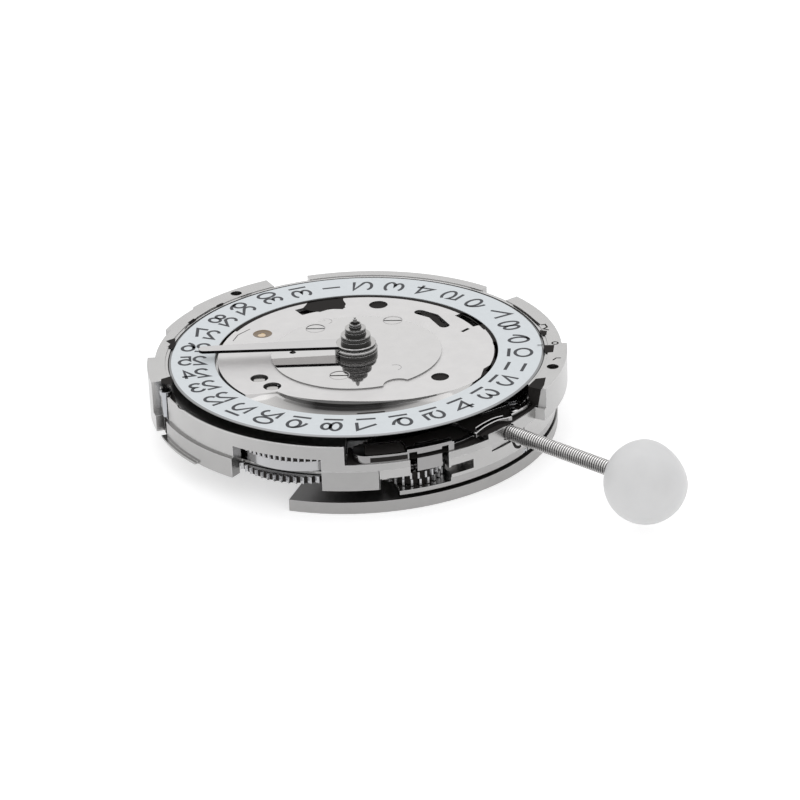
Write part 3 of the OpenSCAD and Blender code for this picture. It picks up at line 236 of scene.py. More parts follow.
def turned(profile, steps, at=(0, 0), sharp=30, bearings=(0, 360)):
    """A profile of (r, z) points spun about an upright axis, with its sharp edges split."""
    start, end = bearings
    mesh = bmesh.new()
    verts = [mesh.verts.new(polar(r, start, z)*MM) for r, z in profile]
    edges = [mesh.edges.new(pair) for pair in zip(verts, verts[1:])]
    bmesh.ops.spin(mesh, geom=verts + edges, cent=(0, 0, 0), axis=(0, 0, 1), dvec=(0, 0, 0),
        angle=math.radians(end - start), steps=steps, use_merge=end - start == 360)
    bmesh.ops.remove_doubles(mesh, verts=mesh.verts, dist=1e-8)
    bmesh.ops.translate(mesh, vec=Vector((*at, 0))*MM, verts=mesh.verts)
    bmesh.ops.recalc_face_normals(mesh, faces=mesh.faces)
    split_sharp(mesh, sharp)
    return mesh


def face_up(mesh, faces):
    for face in faces:
        face.normal_update()
        if face.normal.z < 0:
            face.normal_flip()


def patch(mesh, outline, z):
    face_up(mesh, [mesh.faces.new([mesh.verts.new(Vector((x, y, z))*MM) for x, y in outline])])


def end_face(mesh, bearing, outline):
    """An upright face across the rim, its outline given by radius and height."""
    mesh.faces.new([mesh.verts.new(polar(r, bearing, z)*MM) for r, z in outline])


def stroke(mesh, points, width):
    """A flat ribbon of constant width along points, with mitred corners."""
    n = len(points)
    closed = (points[0] - points[-1]).length < 1e-9
    sides = []
    for i, p in enumerate(points):
        before = points[i - 1] if i > 0 else (points[n - 2] if closed else None)
        after = points[i + 1] if i < n - 1 else (points[1] if closed else None)
        ways = [(b - a).normalized() for a, b in ((before, p), (p, after)) if a is not None and b is not None]
        mean = sum(ways, Vector((0, 0, 0))).normalized()
        across = Vector((-mean.y, mean.x, 0))
        half = width/2/max(0.45, abs(mean.dot(ways[0])))
        sides.append((mesh.verts.new(p + across*half), mesh.verts.new(p - across*half)))
    face_up(mesh, [mesh.faces.new((a, b, d, c)) for (a, b), (c, d) in zip(sides, sides[1:])])


def line(mesh, points, width, z):
    stroke(mesh, [Vector((x, y, z))*MM for x, y in points], width*MM)


def round_line(mesh, centre, r, bearings, width, z, steps=24):
    start, end = bearings
    turn = [polar(r, start + (end - start)*i/steps) for i in range(steps + 1)]
    line(mesh, [(centre[0] + p.x, centre[1] + p.y) for p in turn], width, z)


def curve(points, steps=5):
    """A smooth run through points."""
    p = [Vector(q) for q in [points[0]] + points + [points[-1]]]
    run = []
    for a, b, c, d in zip(p, p[1:], p[2:], p[3:]):
        for i in range(steps):
            t = i/steps
            run.append(tuple(0.5*((2*b) + (c - a)*t + (2*a - 5*b + 4*c - d)*t*t + (3*b - a - 3*c + d)*t**3)))
    return run + [tuple(p[-1])]


def wall_line(mesh, points, width, r):
    """A flat line drawn by bearing and height, then wrapped round the wall of radius r."""
    start = len(mesh.verts)
    line(mesh, curve([(math.radians(bearing)*r, z) for bearing, z in points]), width, 0)
    mesh.verts.ensure_lookup_table()
    for v in mesh.verts[start:]:
        v.co = polar(r, math.degrees(v.co.x/MM/r), v.co.y/MM)*MM


# Painted shade: a dark matt finish laid over cuts, holes, gaps and roots of teeth that lie in shade
PAINTED_SHADE = coated("painted_shade_dark", (0.02, 0.018, 0.017), 0.8, Specular_IOR_Level=0.15)
# Painted light: a pale matt finish over the flange's cut ends beside the stem
PAINTED_PALE = coated("painted_light_end", (0.6, 0.595, 0.59), 0.45)
# Heights of the flange's and the front wall's tops, and how far a mark stands over the face it lies on
FLANGE_Z, WALL_Z, RISE = 0.0, -0.45, 0.004
RIM_CUTS = [
    [(-11.3, -6.05), (-11.45, -6.8), (-10.85, -6.95), (-10.65, -7.4), (-10.1, -7.4), (-10.6, -6.75)],
    [(-7.3, -11.2), (-7.1, -10.45), (-6.35, -11.0), (-6.15, -11.45), (-6.85, -11.65)],
    [(7.5, 10.25), (8.0, 10.45), (8.4, 9.9), (8.1, 9.7)],
    [(9.3, 8.55), (9.85, 9.0), (10.5, 8.1), (10.15, 7.65)],
    [(12.6, 2.95), (12.25, 4.2), (12.65, 4.75), (13.3, 3.8), (13.6, 3.15)],
]
# Cuts seen as lines: their width and their points
RIM_LINES = [
    (0.07, [(-11.85, -4.6), (-12.3, -3.7), (-12.6, -2.6), (-12.85, -1.1), (-12.85, -0.05)]),
    (0.3, [(-12.3, -3.75), (-12.5, -3.0)]),
    (0.26, [(-12.85, -0.5), (-12.85, 0.1)]),
    (0.1, [(-12.65, 1.6), (-12.5, 2.6)]),
    (0.14, [(3.4, 12.3), (5.3, 11.65), (7.0, 10.9)]),
    (0.12, [(7.05, 10.95), (7.2, 11.2), (7.6, 10.95), (7.6, 10.55), (8.0, 10.65)]),
    (0.08, [(8.95, 8.3), (9.25, 8.55)]),
    (0.1, [(11.3, 7.1), (11.25, 7.5), (11.5, 7.7)]),
    (0.08, [(-0.9, 12.7), (0.15, 12.85)]),
]
RIM_HOLE, RIM_HOLE_R, RIM_HOLE_EDGE = (9.68, 9.28), 0.2, 0.1
# The hooked cut in the front wall's top, by radius and bearing
HOOK_AT, HOOK_WIDTH = [(13.34, 251.6), (13.43, 253.6), (13.21, 256.3), (13.07, 259.3)], 0.09
# The notch in the wall under the stem, drawn in painted shade, by bearing and height
NOTCH = [(1.1, -2.42), (1.7, -2.84), (2.7, -3.2), (4.1, -3.37), (5.0, -3.35)]
NOTCH_WIDTH, NOTCH_R = 0.2, 13.51
# The flange's end beside the stem, with painted shade inside and painted light at its milled corner, and the
# step's end below it, painted light too
END_AT, END_STEP_AT = 13.97, 12.97
END_PAINTED_SHADE = [(12.92, 0.0), (13.85, 0.0), (13.6, -1.36), (12.92, -1.36)]
END_PAINTED_LIGHT = [(13.85, 0.0), (14.19, 0.0), (14.19, -1.36), (13.6, -1.36)]
END_STEP = [(13.52, -1.38), (14.19, -1.38), (14.19, -2.19), (13.52, -2.19)]
# The narrow step between the date ring and the flange, and bands of painted shade in the clamp's groove and
# in the gap under it
LIP, LIP_AT = [(12.7, -0.38), (12.7, -0.08), (12.73, -0.06), (12.9, -0.06), (12.9, -0.38)], (15, 236.5)
GROOVE, GROOVE_AT = [(12.93, -2.18), (12.93, -0.52)], (239, 245.1)
GAP, GAP_AT = [(13.53, -3.5), (13.53, -2.24)], (241, 244.8)


def rim():
    mesh = bmesh.new()
    top = FLANGE_Z + RISE
    for outline in RIM_CUTS:
        patch(mesh, outline, top)
    for width, points in RIM_LINES:
        line(mesh, points, width, top)
    round_line(mesh, RIM_HOLE, RIM_HOLE_R, (0, 360), RIM_HOLE_EDGE, top)
    line(mesh, curve([polar(*at)[:2] for at in HOOK_AT]), HOOK_WIDTH, WALL_Z + RISE)
    end_face(mesh, END_AT, END_PAINTED_SHADE)
    wall_line(mesh, NOTCH, NOTCH_WIDTH, NOTCH_R)
    piece("rim_shade_marks", mesh, PAINTED_SHADE, "movement", False)
    mesh = bmesh.new()
    end_face(mesh, END_AT, END_PAINTED_LIGHT)
    end_face(mesh, END_STEP_AT, END_STEP)
    piece("flange_ends", mesh, PAINTED_PALE, "movement", False)
    piece("channel_lip", turned(LIP, 120, bearings=LIP_AT), NICKEL, "movement", False)
    piece("clamp_groove", turned(GROOVE, 8, bearings=GROOVE_AT), PAINTED_SHADE, "movement", False)
    piece("wall_gap_shade", turned(GAP, 8, bearings=GAP_AT), PAINTED_SHADE, "movement", False)


rim()

# Jewels: bearings for the wheels' pivots, pressed into the plate and the bridges, and the fork's two stones.
# They are synthetic ruby, turned and polished, and those in the plate look amber over its brass.
RUBY = coated("ruby", (0.42, 0.03, 0.08), 0.08, Coat_Weight=0.6)
AMBER = coated("amber_jewel", (0.16, 0.1, 0.045), 0.12, Coat_Weight=0.3)
finish(RUBY, "pallet_stones bridge_jewels")
finish(AMBER, "plate_jewels")

# Mainspring barrel: a cut steel drum with its toothed flange, and the ratchet wheel on its arbor.
# Bands of painted shade keep the roots of the teeth dark.
STEEL = metal("bright_steel", (0.48, 0.48, 0.49), (0.80, 0.80, 0.80), 0.18, 0.08, edge=0.03)
finish(STEEL, "barrel_drum barrel_lid barrel_arbor mainspring ratchet_wheel click")
# The painted shade between the teeth: its radius, just over their roots, its height on the wheel, and its
# thickness
DRUM_SHADE_R, DRUM_Z = 4.94, (-1.888, -1.392)
RATCHET_SHADE_R, RATCHET_Z = 5.06, (-3.338, -2.892)
SHADE_DEPTH = 0.02


def axis_of(body):
    """Where a body's upright axis stands, from its hinge in the frame."""
    hinge = next(j for j in frame["joints"] if j["child"] == body)
    return hinge["pos_m"][0]/MM, hinge["pos_m"][1]/MM


def tooth_gaps(name, body, r, heights):
    """A thin band of painted shade that shows between a wheel's teeth."""
    low, high = heights
    band = [(r - SHADE_DEPTH, low), (r, low), (r, high), (r - SHADE_DEPTH, high)]
    piece(name, turned(band, 120, axis_of(body)), PAINTED_SHADE, body, False)


tooth_gaps("barrel_gaps", "barrel", DRUM_SHADE_R, DRUM_Z)
tooth_gaps("ratchet_gaps", "ratchet", RATCHET_SHADE_R, RATCHET_Z)

# Going train and escapement: gilt brass wheels on steel pinions, turning between the plate and the bridges.
# The escape wheel and the fork are cut and polished steel.
GILT = metal("gilt_brass", (0.68, 0.48, 0.22), (0.95, 0.75, 0.42), 0.2, 0.08, edge=0.03)
finish(GILT, "great_wheel third_wheel")
finish(STEEL, "escape_wheel pallet_fork")

# Balance: a gilt rim pressed on a steel staff, with a blued steel hairspring coiled over it.
# A stud in the nickel plated cock holds the spring's outer end.
SPRING = metal("blue_spring", (0.16, 0.24, 0.5), (0.4, 0.5, 0.8), 0.15, 0.02, edge=0.01)
finish(GILT, "balance_wheel")
finish(STEEL, "balance_staff hairspring_stud")
finish(SPRING, "hairspring")
finish(NICKEL, "balance_cock pallet_bridge")

# Bridges: milled and nickel plated brass which carry the upper jewels, their nickel darker than the plate's
# as painted shade.
# Slotted and polished steel screws hold them to the plate, and clamps of the same steel hold the dial's feet.
BRIDGE = metal("bridge_nickel", (0.50, 0.495, 0.49), (0.84, 0.84, 0.84), 0.24, 0.16, side=0.8)
TRAIN = metal("train_nickel", (0.54, 0.535, 0.53), (0.84, 0.84, 0.84), 0.24, 0.16, side=0.92)
SCREW = metal("screw_steel", (0.45, 0.46, 0.48), (0.82, 0.82, 0.84), 0.12, 0.05, edge=0.03)
finish(BRIDGE, "barrel_bridge")
finish(TRAIN, "train_bridge")
finish(SCREW, "bridge_screws dial_foot_clamps")

# Winding wheels: cut steel wheels on shouldered screws, between the stem's pinion and the ratchet wheel.
# The transfer wheel has two rows of teeth, and the two pinions ride on the stem.
finish(STEEL, "crown_wheel transfer_wheel winding_pinion sliding_pinion")
finish(SCREW, "winding_screws")
# Radii of the painted shade between the transfer wheel's two rows of teeth, and the height of the lower row
TRANSFER_SHADE_R, DRIVER_SHADE_R, DRIVER_Z = 1.91, 1.83, (-3.818, -3.392)
tooth_gaps("transfer_gaps", "transfer_wheel", TRANSFER_SHADE_R, RATCHET_Z)
tooth_gaps("driver_gaps", "transfer_wheel", DRIVER_SHADE_R, DRIVER_Z)

# Keyless works: stamped and polished steel levers in a milled recess beside the stem, its floors painted dark
# as shade.
# The lever jumper is the thick polished plate over the notch; bent edges of its springs catch the light.
POLISH = metal("polished_steel", (0.70, 0.69, 0.69), (0.92, 0.92, 0.92), 0.06, 0.02, EVEN, 0.02, 0.5)
finish(STEEL, "setting_lever yoke")
finish(SCREW, "lever_posts")
finish(POLISH, "lever_jumper")
# Painted shade on the recess floors and on the jumper's top and side: height, bearings and radii
RECESS_Z, RECESS_AT, RECESS_R = -1.72, (310, 350), (10.3, 13.36)
KEYLESS_Z, KEYLESS_AT, KEYLESS_R = -1.37, (349.8, 374), (10.0, 13.4)
JUMPER_TOP, JUMPER_AT, JUMPER_R = -1.18, (315.4, 326.6), (11.78, 13.2)
JUMPER_SIDE, JUMPER_SIDE_AT = [(13.375, -1.64), (13.375, -1.32)], (316.6, 327)
# Spring edges: the height of their tops, their rounding, and the width and points of each
SPRING_TOP, SPRING_CHAMFER = -1.02, 0.04
SPRING_EDGES = [
    (0.17, [(12.99, -2.75), (12.79, -1.66), (12.83, -0.42), (13.1, 0.2), (13.22, 0.55)]),
    (0.14, [(13.0, 0.75), (12.98, 1.6), (12.86, 2.65), (12.4, 4.01)]),
    (0.1, [(12.5, -2.2), (12.42, -1.4), (12.46, -0.4), (12.7, 0.3)]),
    (0.12, [(12.55, 2.2), (12.35, 2.9), (12.0, 3.5)]),
]
SPRING_SCREW_AT = (12.75, 1.35)
SPRING_SCREW = [(0.0, -0.98), (0.2, -0.985), (0.28, -1.02), (0.3, -1.1), (0.3, -1.366)]


def ring_patch(mesh, bearings, radii, z, steps=24):
    start, end = bearings
    ends = [mesh.verts.new(polar(r, start, z)*MM) for r in radii]
    first = len(mesh.faces)
    bmesh.ops.spin(mesh, geom=ends + [mesh.edges.new(ends)], cent=(0, 0, 0), axis=(0, 0, 1), dvec=(0, 0, 0),
        angle=math.radians(end - start), steps=steps)
    mesh.faces.ensure_lookup_table()
    face_up(mesh, mesh.faces[first:])


def block(mesh, outline, low, high, chamfer):
    """An upright block extruded from an outline, its top edges bevelled."""
    base = mesh.faces.new([mesh.verts.new(Vector((x, y, low))*MM) for x, y in outline])
    grown = bmesh.ops.extrude_face_region(mesh, geom=[base], use_keep_orig=True)["geom"]
    verts = [v for v in grown if isinstance(v, bmesh.types.BMVert)]
    bmesh.ops.translate(mesh, vec=(0, 0, (high - low)*MM), verts=verts)
    top = [e for e in grown if isinstance(e, bmesh.types.BMEdge)]
    bmesh.ops.bevel(mesh, geom=top, offset=chamfer*MM, segments=1, profile=0.5, affect="EDGES", material=-1)


def wall_along(mesh, points, width, low, high, chamfer):
    """A low wall of constant width that follows points."""
    way = [Vector((x, y, 0)) for x, y in points]
    left, right = [], []
    for i, p in enumerate(way):
        ahead = (way[min(i + 1, len(way) - 1)] - way[max(i - 1, 0)]).normalized()
        across = Vector((-ahead.y, ahead.x, 0))*width/2
        left.append((p + across)[:2])
        right.append((p - across)[:2])
    block(mesh, right + left[::-1], low, high, chamfer)


def keyless_works():
    mesh = bmesh.new()
    ring_patch(mesh, RECESS_AT, RECESS_R, RECESS_Z + RISE)
    ring_patch(mesh, KEYLESS_AT, KEYLESS_R, KEYLESS_Z + RISE)
    piece("recess_shade", mesh, PAINTED_SHADE, "movement", False)
    mesh = bmesh.new()
    ring_patch(mesh, JUMPER_AT, JUMPER_R, JUMPER_TOP + RISE)
    piece("jumper_shade", mesh, PAINTED_SHADE, "movement", False)
    side = turned(JUMPER_SIDE, 8, bearings=JUMPER_SIDE_AT)
    piece("jumper_side_shade", side, PAINTED_SHADE, "movement", False)
    mesh = bmesh.new()
    for width, points in SPRING_EDGES:
        wall_along(mesh, curve(points), width, KEYLESS_Z + RISE, SPRING_TOP, SPRING_CHAMFER)
    piece("spring_edges", mesh, POLISH, "movement", False)
    piece("spring_screw", turned(SPRING_SCREW, 24, SPRING_SCREW_AT), POLISH, "movement")


keyless_works()

# Stem: a ground steel shaft with a square for the sliding pinion and a groove for the setting lever.
# Its outer end has a fine cut screw thread, which the knob is screwed on, with painted shade in its roots.
# The stem's steel has painted shade on its steep faces and a darker paint along its edges.
ROD = metal("stem_steel", (0.86, 0.85, 0.84), (0.5, 0.49, 0.48), 0.22, 0.05, edge=0.01, side=0.26)
SHADE = coated("thread_shade", (0.11, 0.107, 0.1), 0.5)
STEM_Z = -1.9
# The shaft's profile from the inner pivot out: distance from the centre axis, and radius
SHAFT = [(3.6, 0.0), (3.6, 0.27), (3.63, 0.3), (5.2, 0.3), (5.2, 0.35), (8.6, 0.35), (8.6, 0.52),
    (8.63, 0.55), (10.87, 0.55), (10.9, 0.52), (10.9, 0.35), (11.4, 0.35), (11.4, 0.49), (11.43, 0.52),
    (12.26, 0.52), (12.3, 0.5), (12.3, 0.3)]
SQUARE_X, SQUARE = (5.22, 8.58), 0.69
THREAD_X, THREAD_R, THREAD_DEPTH, THREAD_PITCH, THREAD_STEPS = (12.3, 23.6), 0.51, 0.09, 0.18, 20
# One turn of the thread, by share of its pitch and of its depth
THREAD_TURN = [(0.0, 0), (0.45, 0), (0.6, 1), (0.7, 1), (0.85, 0), (1.0, 0)]
ROOT_X, ROOT_R = (12.5, 23.6), 0.44


def lay(mesh, x=0.0):
    """Lays an upright turned form along the stem's axis, x out from the centre."""
    matrix = Matrix.Translation(Vector((x, 0, STEM_Z))*MM) @ Matrix.Rotation(math.pi/2, 4, "Y")
    bmesh.ops.transform(mesh, matrix=matrix, verts=mesh.verts)


def stem():
    mesh = turned([(r, x) for x, r in SHAFT], 32, sharp=35)
    lay(mesh)
    middle = Matrix.Translation(Vector((sum(SQUARE_X)/2, 0, STEM_Z))*MM)
    size = Matrix.Diagonal(Vector((SQUARE_X[1] - SQUARE_X[0], SQUARE, SQUARE, 1/MM))*MM)
    bmesh.ops.create_cube(mesh, size=1, matrix=middle @ size)
    turns = int((THREAD_X[1] - THREAD_X[0])/THREAD_PITCH) - 1
    start, crest = THREAD_X[0], STEM_Z + THREAD_R
    verts = [mesh.verts.new(Vector((start + x*THREAD_PITCH, 0, crest - deep*THREAD_DEPTH))*MM)
        for x, deep in THREAD_TURN]
    edges = [mesh.edges.new(pair) for pair in zip(verts, verts[1:])]
    bmesh.ops.spin(mesh, geom=verts + edges, cent=Vector((0, 0, STEM_Z))*MM, axis=(1, 0, 0),
        dvec=Vector((THREAD_PITCH/THREAD_STEPS, 0, 0))*MM, angle=2*math.pi*turns, steps=THREAD_STEPS*turns)
    bmesh.ops.remove_doubles(mesh, verts=mesh.verts, dist=1e-7)
    bmesh.ops.recalc_face_normals(mesh, faces=mesh.faces)
    split_sharp(mesh, 35)
    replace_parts(piece("stem_thread", mesh, ROD, "stem"), "winding_stem")
    root = turned([(0.0, ROOT_X[0]), (ROOT_R, ROOT_X[0]), (ROOT_R, ROOT_X[1]), (0.0, ROOT_X[1])], 32)
    lay(root)
    piece("stem_thread_root", root, SHADE, "stem")


stem()

# Setting knob: a ball moulded in white plastic on the stem's end, for setting the movement before casing.
# A short collar stands round the thread. One side of the ball is flattened, and the one below it is fuller.
PLASTIC = coated("knob_plastic", (0.72, 0.72, 0.72), 0.42, 0.03, 700.0, Subsurface_Weight=0.15,
    Subsurface_Radius=(0.002, 0.002, 0.002), Subsurface_Scale=1.0)
KNOB_X, KNOB_R, KNOB_HALF = 24.7, 2.7, 2.62
# Where the ball isn't round: a direction, how far it stands in or out there, and how near to it this starts
KNOB_PRESSED, KNOB_PRESSED_FROM = [((0.303, 0.799, 0.519), -0.2), ((0.834, 0.246, -0.494), 0.03)], 0.55
COLLAR = [(0.5, -2.1), (0.5, -2.6), (0.62, -2.64), (0.75, -2.6), (0.85, -2.4)]


def knob():
    mesh = turned(COLLAR, 48, sharp=40)
    bmesh.ops.create_uvsphere(mesh, u_segments=96, v_segments=48, radius=1,
        matrix=Matrix.Diagonal(Vector((KNOB_R, KNOB_R, KNOB_HALF, 1/MM))*MM))
    lay(mesh, KNOB_X)
    middle = Vector((KNOB_X, 0, STEM_Z))*MM
    for way, depth in KNOB_PRESSED:
        for v in mesh.verts:
            facing = (v.co - middle).normalized().dot(Vector(way))
            near = max(0.0, facing - KNOB_PRESSED_FROM)/(1 - KNOB_PRESSED_FROM)
            v.co += Vector(way)*depth*near*near*MM
    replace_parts(piece("knob_ball", mesh, PLASTIC, "stem"), "setting_knob")


knob()

# Calendar works: small cut wheels of gilt brass and steel, on posts under the calendar cover.
# They drive the date ring and the 24-hour hand, and the stamped steel jumper holds the ring on its date.
finish(GILT, "date_wheel minute_wheel gmt_idler")
finish(STEEL, "date_jumper setting_wheel")

# Calendar cover: a stamped steel sheet with shaped openings, satin outside and mirror polished in its middle.
# Its front falls in a polished slope to the date ring, and three flush slotted screws hold it.
COVER = metal("satin_cover", (0.76, 0.75, 0.745), (0.84, 0.84, 0.84), 0.5, 0.03, EVEN, 0.03, 0.3)
MIRROR = metal("mirror_cover", (0.75, 0.74, 0.735), (0.84, 0.84, 0.84), 0.05, 0.012, EVEN, 0.03, 0.3)
GREY = coated("grey_line", (0.45, 0.44, 0.44), 0.5)
finish(COVER, "calendar_cover")
finish(MIRROR, "centre_cover cover_screws")
# Heights of the satin sheet, of the painted shade deep in its openings, and of the seam low on its slope
COVER_Z, SUNK_Z, SEAM_Z = -0.1, -0.2, -0.375
# Outlines of painted shade: the cut-out, two patches along the sheet's edge, the key-shaped hole and the slot
CUT_OUT = [(-8.0, 3.1), (-8.2, 3.6), (-8.45, 4.1), (-8.2, 4.5), (-7.3, 5.85), (-6.9, 6.05), (-6.75, 5.85),
    (-6.1, 5.45), (-5.65, 4.7), (-6.4, 4.15), (-6.6, 3.35), (-7.25, 3.05)]
EDGE_SHADES = [[(9.05, 2.35), (8.4, 3.4), (8.35, 4.35), (8.85, 3.55), (9.05, 2.9)],
    [(1.1, 9.15), (2.3, 9.05), (3.6, 8.55), (3.75, 8.9), (1.85, 9.55)]]
KEY_HOLE = [(-1.2, 7.75), (-0.8, 7.85), (-0.25, 8.05), (0.35, 7.9), (0.95, 7.5), (1.55, 7.35), (1.9, 6.75),
    (1.3, 6.75), (0.25, 7.15), (-0.6, 7.4)]
SLOT_HOLE = [(3.25, 6.96), (3.48, 6.96), (3.48, 7.64), (3.25, 7.64)]
# Slits in the sheet as lines of painted shade, their width and points, and the seam low on the slope
COVER_LINES = [(0.06, [(-7.97, -3.81), (-8.4, -2.9), (-8.44, -1.69)]),
    (0.22, [(6.16, 7.06), (7.2, 6.2), (8.03, 5.09)])]
SEAM, SEAM_WIDTH = [(5.99, -6.36), (6.34, -5.98), (6.78, -5.5), (7.2, -5.0)], 0.14
# The painted shade along the sheet's edge, inside the date ring: bearings, radii and steps
RING_SHADES = [((62, 196), (9.2, 9.54), 40), ((20, 62), (9.3, 9.54), 12)]
# Round holes by radius and bearing of their place, and their own radius
ROUND_HOLES = [((7.97, 122), 0.64), ((6.97, 5.7), 0.59)]
# Thin grey rims round the flush screws, by radius and bearing, and half rims of painted shade round two
# pressed dimples
SCREWS_AT, SCREW_RIM_R = [(4.9, 168), (5.5, 106), (3.8, 296)], 0.66
DIMPLES, DIMPLE_R, DIMPLE_AT, FINE_LINE = [(-5.02, 2.3), (3.75, -0.24)], 0.42, (-20, 160), 0.05


def disc_patch(mesh, centre, r, z):
    bmesh.ops.create_circle(mesh, cap_ends=True, segments=24, radius=r*MM,
        matrix=Matrix.Translation(Vector((centre.x, centre.y, z))*MM))


# Painted shade over the sheet's cut-out, slits and edges and deep in its openings, and grey rims round its
# screws and dimples
def cover_marks():
    mesh = bmesh.new()
    top = COVER_Z + RISE
    for outline in EDGE_SHADES + [CUT_OUT]:
        patch(mesh, outline, top)
    for width, points in COVER_LINES:
        line(mesh, points, width, top)
    line(mesh, curve(SEAM), SEAM_WIDTH, SEAM_Z)
    for bearings, radii, steps in RING_SHADES:
        ring_patch(mesh, bearings, radii, top, steps)
    patch(mesh, KEY_HOLE, SUNK_Z)
    for at, r in ROUND_HOLES:
        disc_patch(mesh, polar(*at), r, SUNK_Z)
    patch(mesh, SLOT_HOLE, SUNK_Z)
    piece("cover_marks", mesh, PAINTED_SHADE, "movement", False)
    mesh = bmesh.new()
    for centre in DIMPLES:
        round_line(mesh, centre, DIMPLE_R, DIMPLE_AT, FINE_LINE, RISE)
    for at in SCREWS_AT:
        round_line(mesh, polar(*at), SCREW_RIM_R, (0, 360), FINE_LINE, RISE, 32)
    piece("cover_screw_rims", mesh, GREY, "movement", False)


cover_marks()

# Cover slope: the cover's middle is pressed up, and its front falls in a polished curve to the date ring.
# The fall is steep under the edge and flat at the ring, and turns gentle towards both ends.
SLOPE_R, SLOPE_AT = 9.53, (261, 368)
# Radius of the raised edge by bearing, and how far its rounding reaches in, widest in the middle
EDGE_R = [(261, 9.36), (262, 9.35), (270, 7.6), (290, 7.8), (310, 7.88), (334, 8.05), (352, 8.66),
    (360, 9.05), (368, 9.3)]
LEAD, LEAD_AT = 0.45, (277, 336)
# Heights by share of the way out where the fall is steep, and those of the same points where it is gentle
STEEP = [(0.0, -0.1), (0.006, -0.1), (0.035, -0.34), (0.07, -0.365), (0.16, -0.378), (0.4, -0.388),
    (0.7, -0.395), (1.0, -0.4)]
GENTLE = [-0.1, -0.102, -0.11, -0.125, -0.16, -0.26, -0.36, -0.4]
# Where the fall is steep, and over how many degrees it comes and goes
STEEP_AT, STEEP_EASE = (264, 362), (12, 30)
# The painted reflection of a dark band on the slope: its tones by share of these radii, and where it fades
# sideways
BAND_R = (7.5, 9.5)
BAND_TONES = [(0.0, (0.012, 0.011, 0.011)), (0.04, (0.03, 0.0291, 0.0285)), (0.38, (0.035, 0.03395, 0.03325)),
    (0.46, (0.12, 0.1164, 0.114)), (0.7, (0.25, 0.2425, 0.2375)), (1.0, (0.42, 0.41, 0.4))]
BAND_LEFT, BAND_RIGHT, BARE_TONE = (-6.0, -2.7), (6.5, 1.5), (0.62, 0.61, 0.6, 1)


def tones_by(tree, share, tones):
    """A ramp of colours by share, from the first at 0 to the last at 1."""
    ramp = node(tree, "ValToRGB", Fac=share)
    stops = ramp.color_ramp.elements
    for position, colour in tones:
        stop = stops[0] if position == 0 else stops[-1] if position == 1 else stops.new(position)
        stop.color = (*colour, 1)
    return ramp.outputs[0]


def slope_finish():
    """Polished metal with the reflection of a dark band painted under the edge, clearing towards the ring and
    both ends, and no metal where the band is painted.
    """
    made, tree, shader = new_finish("polished_fall_painted_reflection", 0.14)
    place = node(tree, "TexCoord").outputs["Object"]
    level = node(tree, "VectorMath", {"operation": "MULTIPLY"}, i0=place, i1=(1, 1, 0))
    out = node(tree, "VectorMath", {"operation": "LENGTH"}, i0=level.outputs[0]).outputs["Value"]
    tone = tones_by(tree, ranged(tree, out, *[r*MM for r in BAND_R]), BAND_TONES)
    along = dot(tree, place, polar(1, AZIMUTH))
    left = ranged(tree, along, *[x*MM for x in BAND_LEFT])
    right = ranged(tree, along, *[x*MM for x in BAND_RIGHT])
    band = maths(tree, "MINIMUM", left, right)
    tree.links.new(blend(tree, band, BARE_TONE, tone), shader.inputs["Base Color"])
    tree.links.new(maths(tree, "SUBTRACT", 1.0, band), shader.inputs["Metallic"])
    return made


def slope_edge(bearing):
    for (a0, r0), (a1, r1) in zip(EDGE_R, EDGE_R[1:]):
        if bearing <= a1:
            return r0 + (r1 - r0)*(bearing - a0)/(a1 - a0)
    return EDGE_R[-1][1]


def cover_slope():
    # A plain turned sheet first, whose heights only number its rows of points, each then set to its place
    row = 10
    mesh = turned([(1 + t, row*k) for k, (t, z) in enumerate(STEEP)], SLOPE_AT[1] - SLOPE_AT[0], sharp=180,
        bearings=SLOPE_AT)
    for v in mesh.verts:
        k = round(v.co.z/MM/row)
        bearing = math.degrees(math.atan2(v.co.y, v.co.x)) % 360
        bearing = bearing + 360 if bearing < 180 else bearing
        edge = slope_edge(bearing) + RISE
        comes, goes = (bearing - STEEP_AT[0])/STEEP_EASE[0], (STEEP_AT[1] - bearing)/STEEP_EASE[1]
        steep = max(0.0, min(1.0, comes, goes))
        t, z = STEEP[k]
        v.co = polar(edge + (SLOPE_R - edge)*t, bearing, z*steep + GENTLE[k]*(1 - steep))*MM
        if k == 0:
            share = min(1.0, max(0.0, (bearing - LEAD_AT[0])/(LEAD_AT[1] - LEAD_AT[0])))
            v.co = polar(edge - LEAD*max(0.0, math.sin(math.pi*share)), bearing, COVER_Z + RISE)*MM
    face_up(mesh, mesh.faces)
    split_sharp(mesh, 30)
    piece("cover_slope", mesh, slope_finish(), "movement")


cover_slope()

# Steady pins: turned and grooved steel pins that stand in the cover's two front holes.
# Date wheel's jewel: set in the cover, with a dark oil sink turned in it and a pale disc off its middle,
# painted on as its one bright side.
# Polished steel with its walls painted nearly black as shade and its edges painted bright as highlights.
TOWER = metal("tower_steel", (0.56, 0.55, 0.54), (0.95, 0.95, 0.95), 0.12, 0.01, EVEN, 0.02, 0.1)
PAINTED_GLINT = coated("jewel_painted_glint", (0.72, 0.55, 0.36), 0.12, Coat_Weight=0.6)
PIN = [(0.0, -0.21), (0.2, -0.22), (0.38, -0.24), (0.38, -0.28), (0.29, -0.33), (0.38, -0.4), (0.38, -0.44),
    (0.29, -0.49), (0.38, -0.56), (0.38, -0.6), (0.29, -0.65), (0.29, -0.78)]
PINS_AT, JEWEL_AT, GLINT_AT = [(7.3, 251), (7.3, 263.5)], (7.4, 193.5), (0.2, 300)
SINK = [(0.66, -0.1), (0.64, -0.09), (0.56, -0.1), (0.36, -0.13), (0.0, -0.135)]
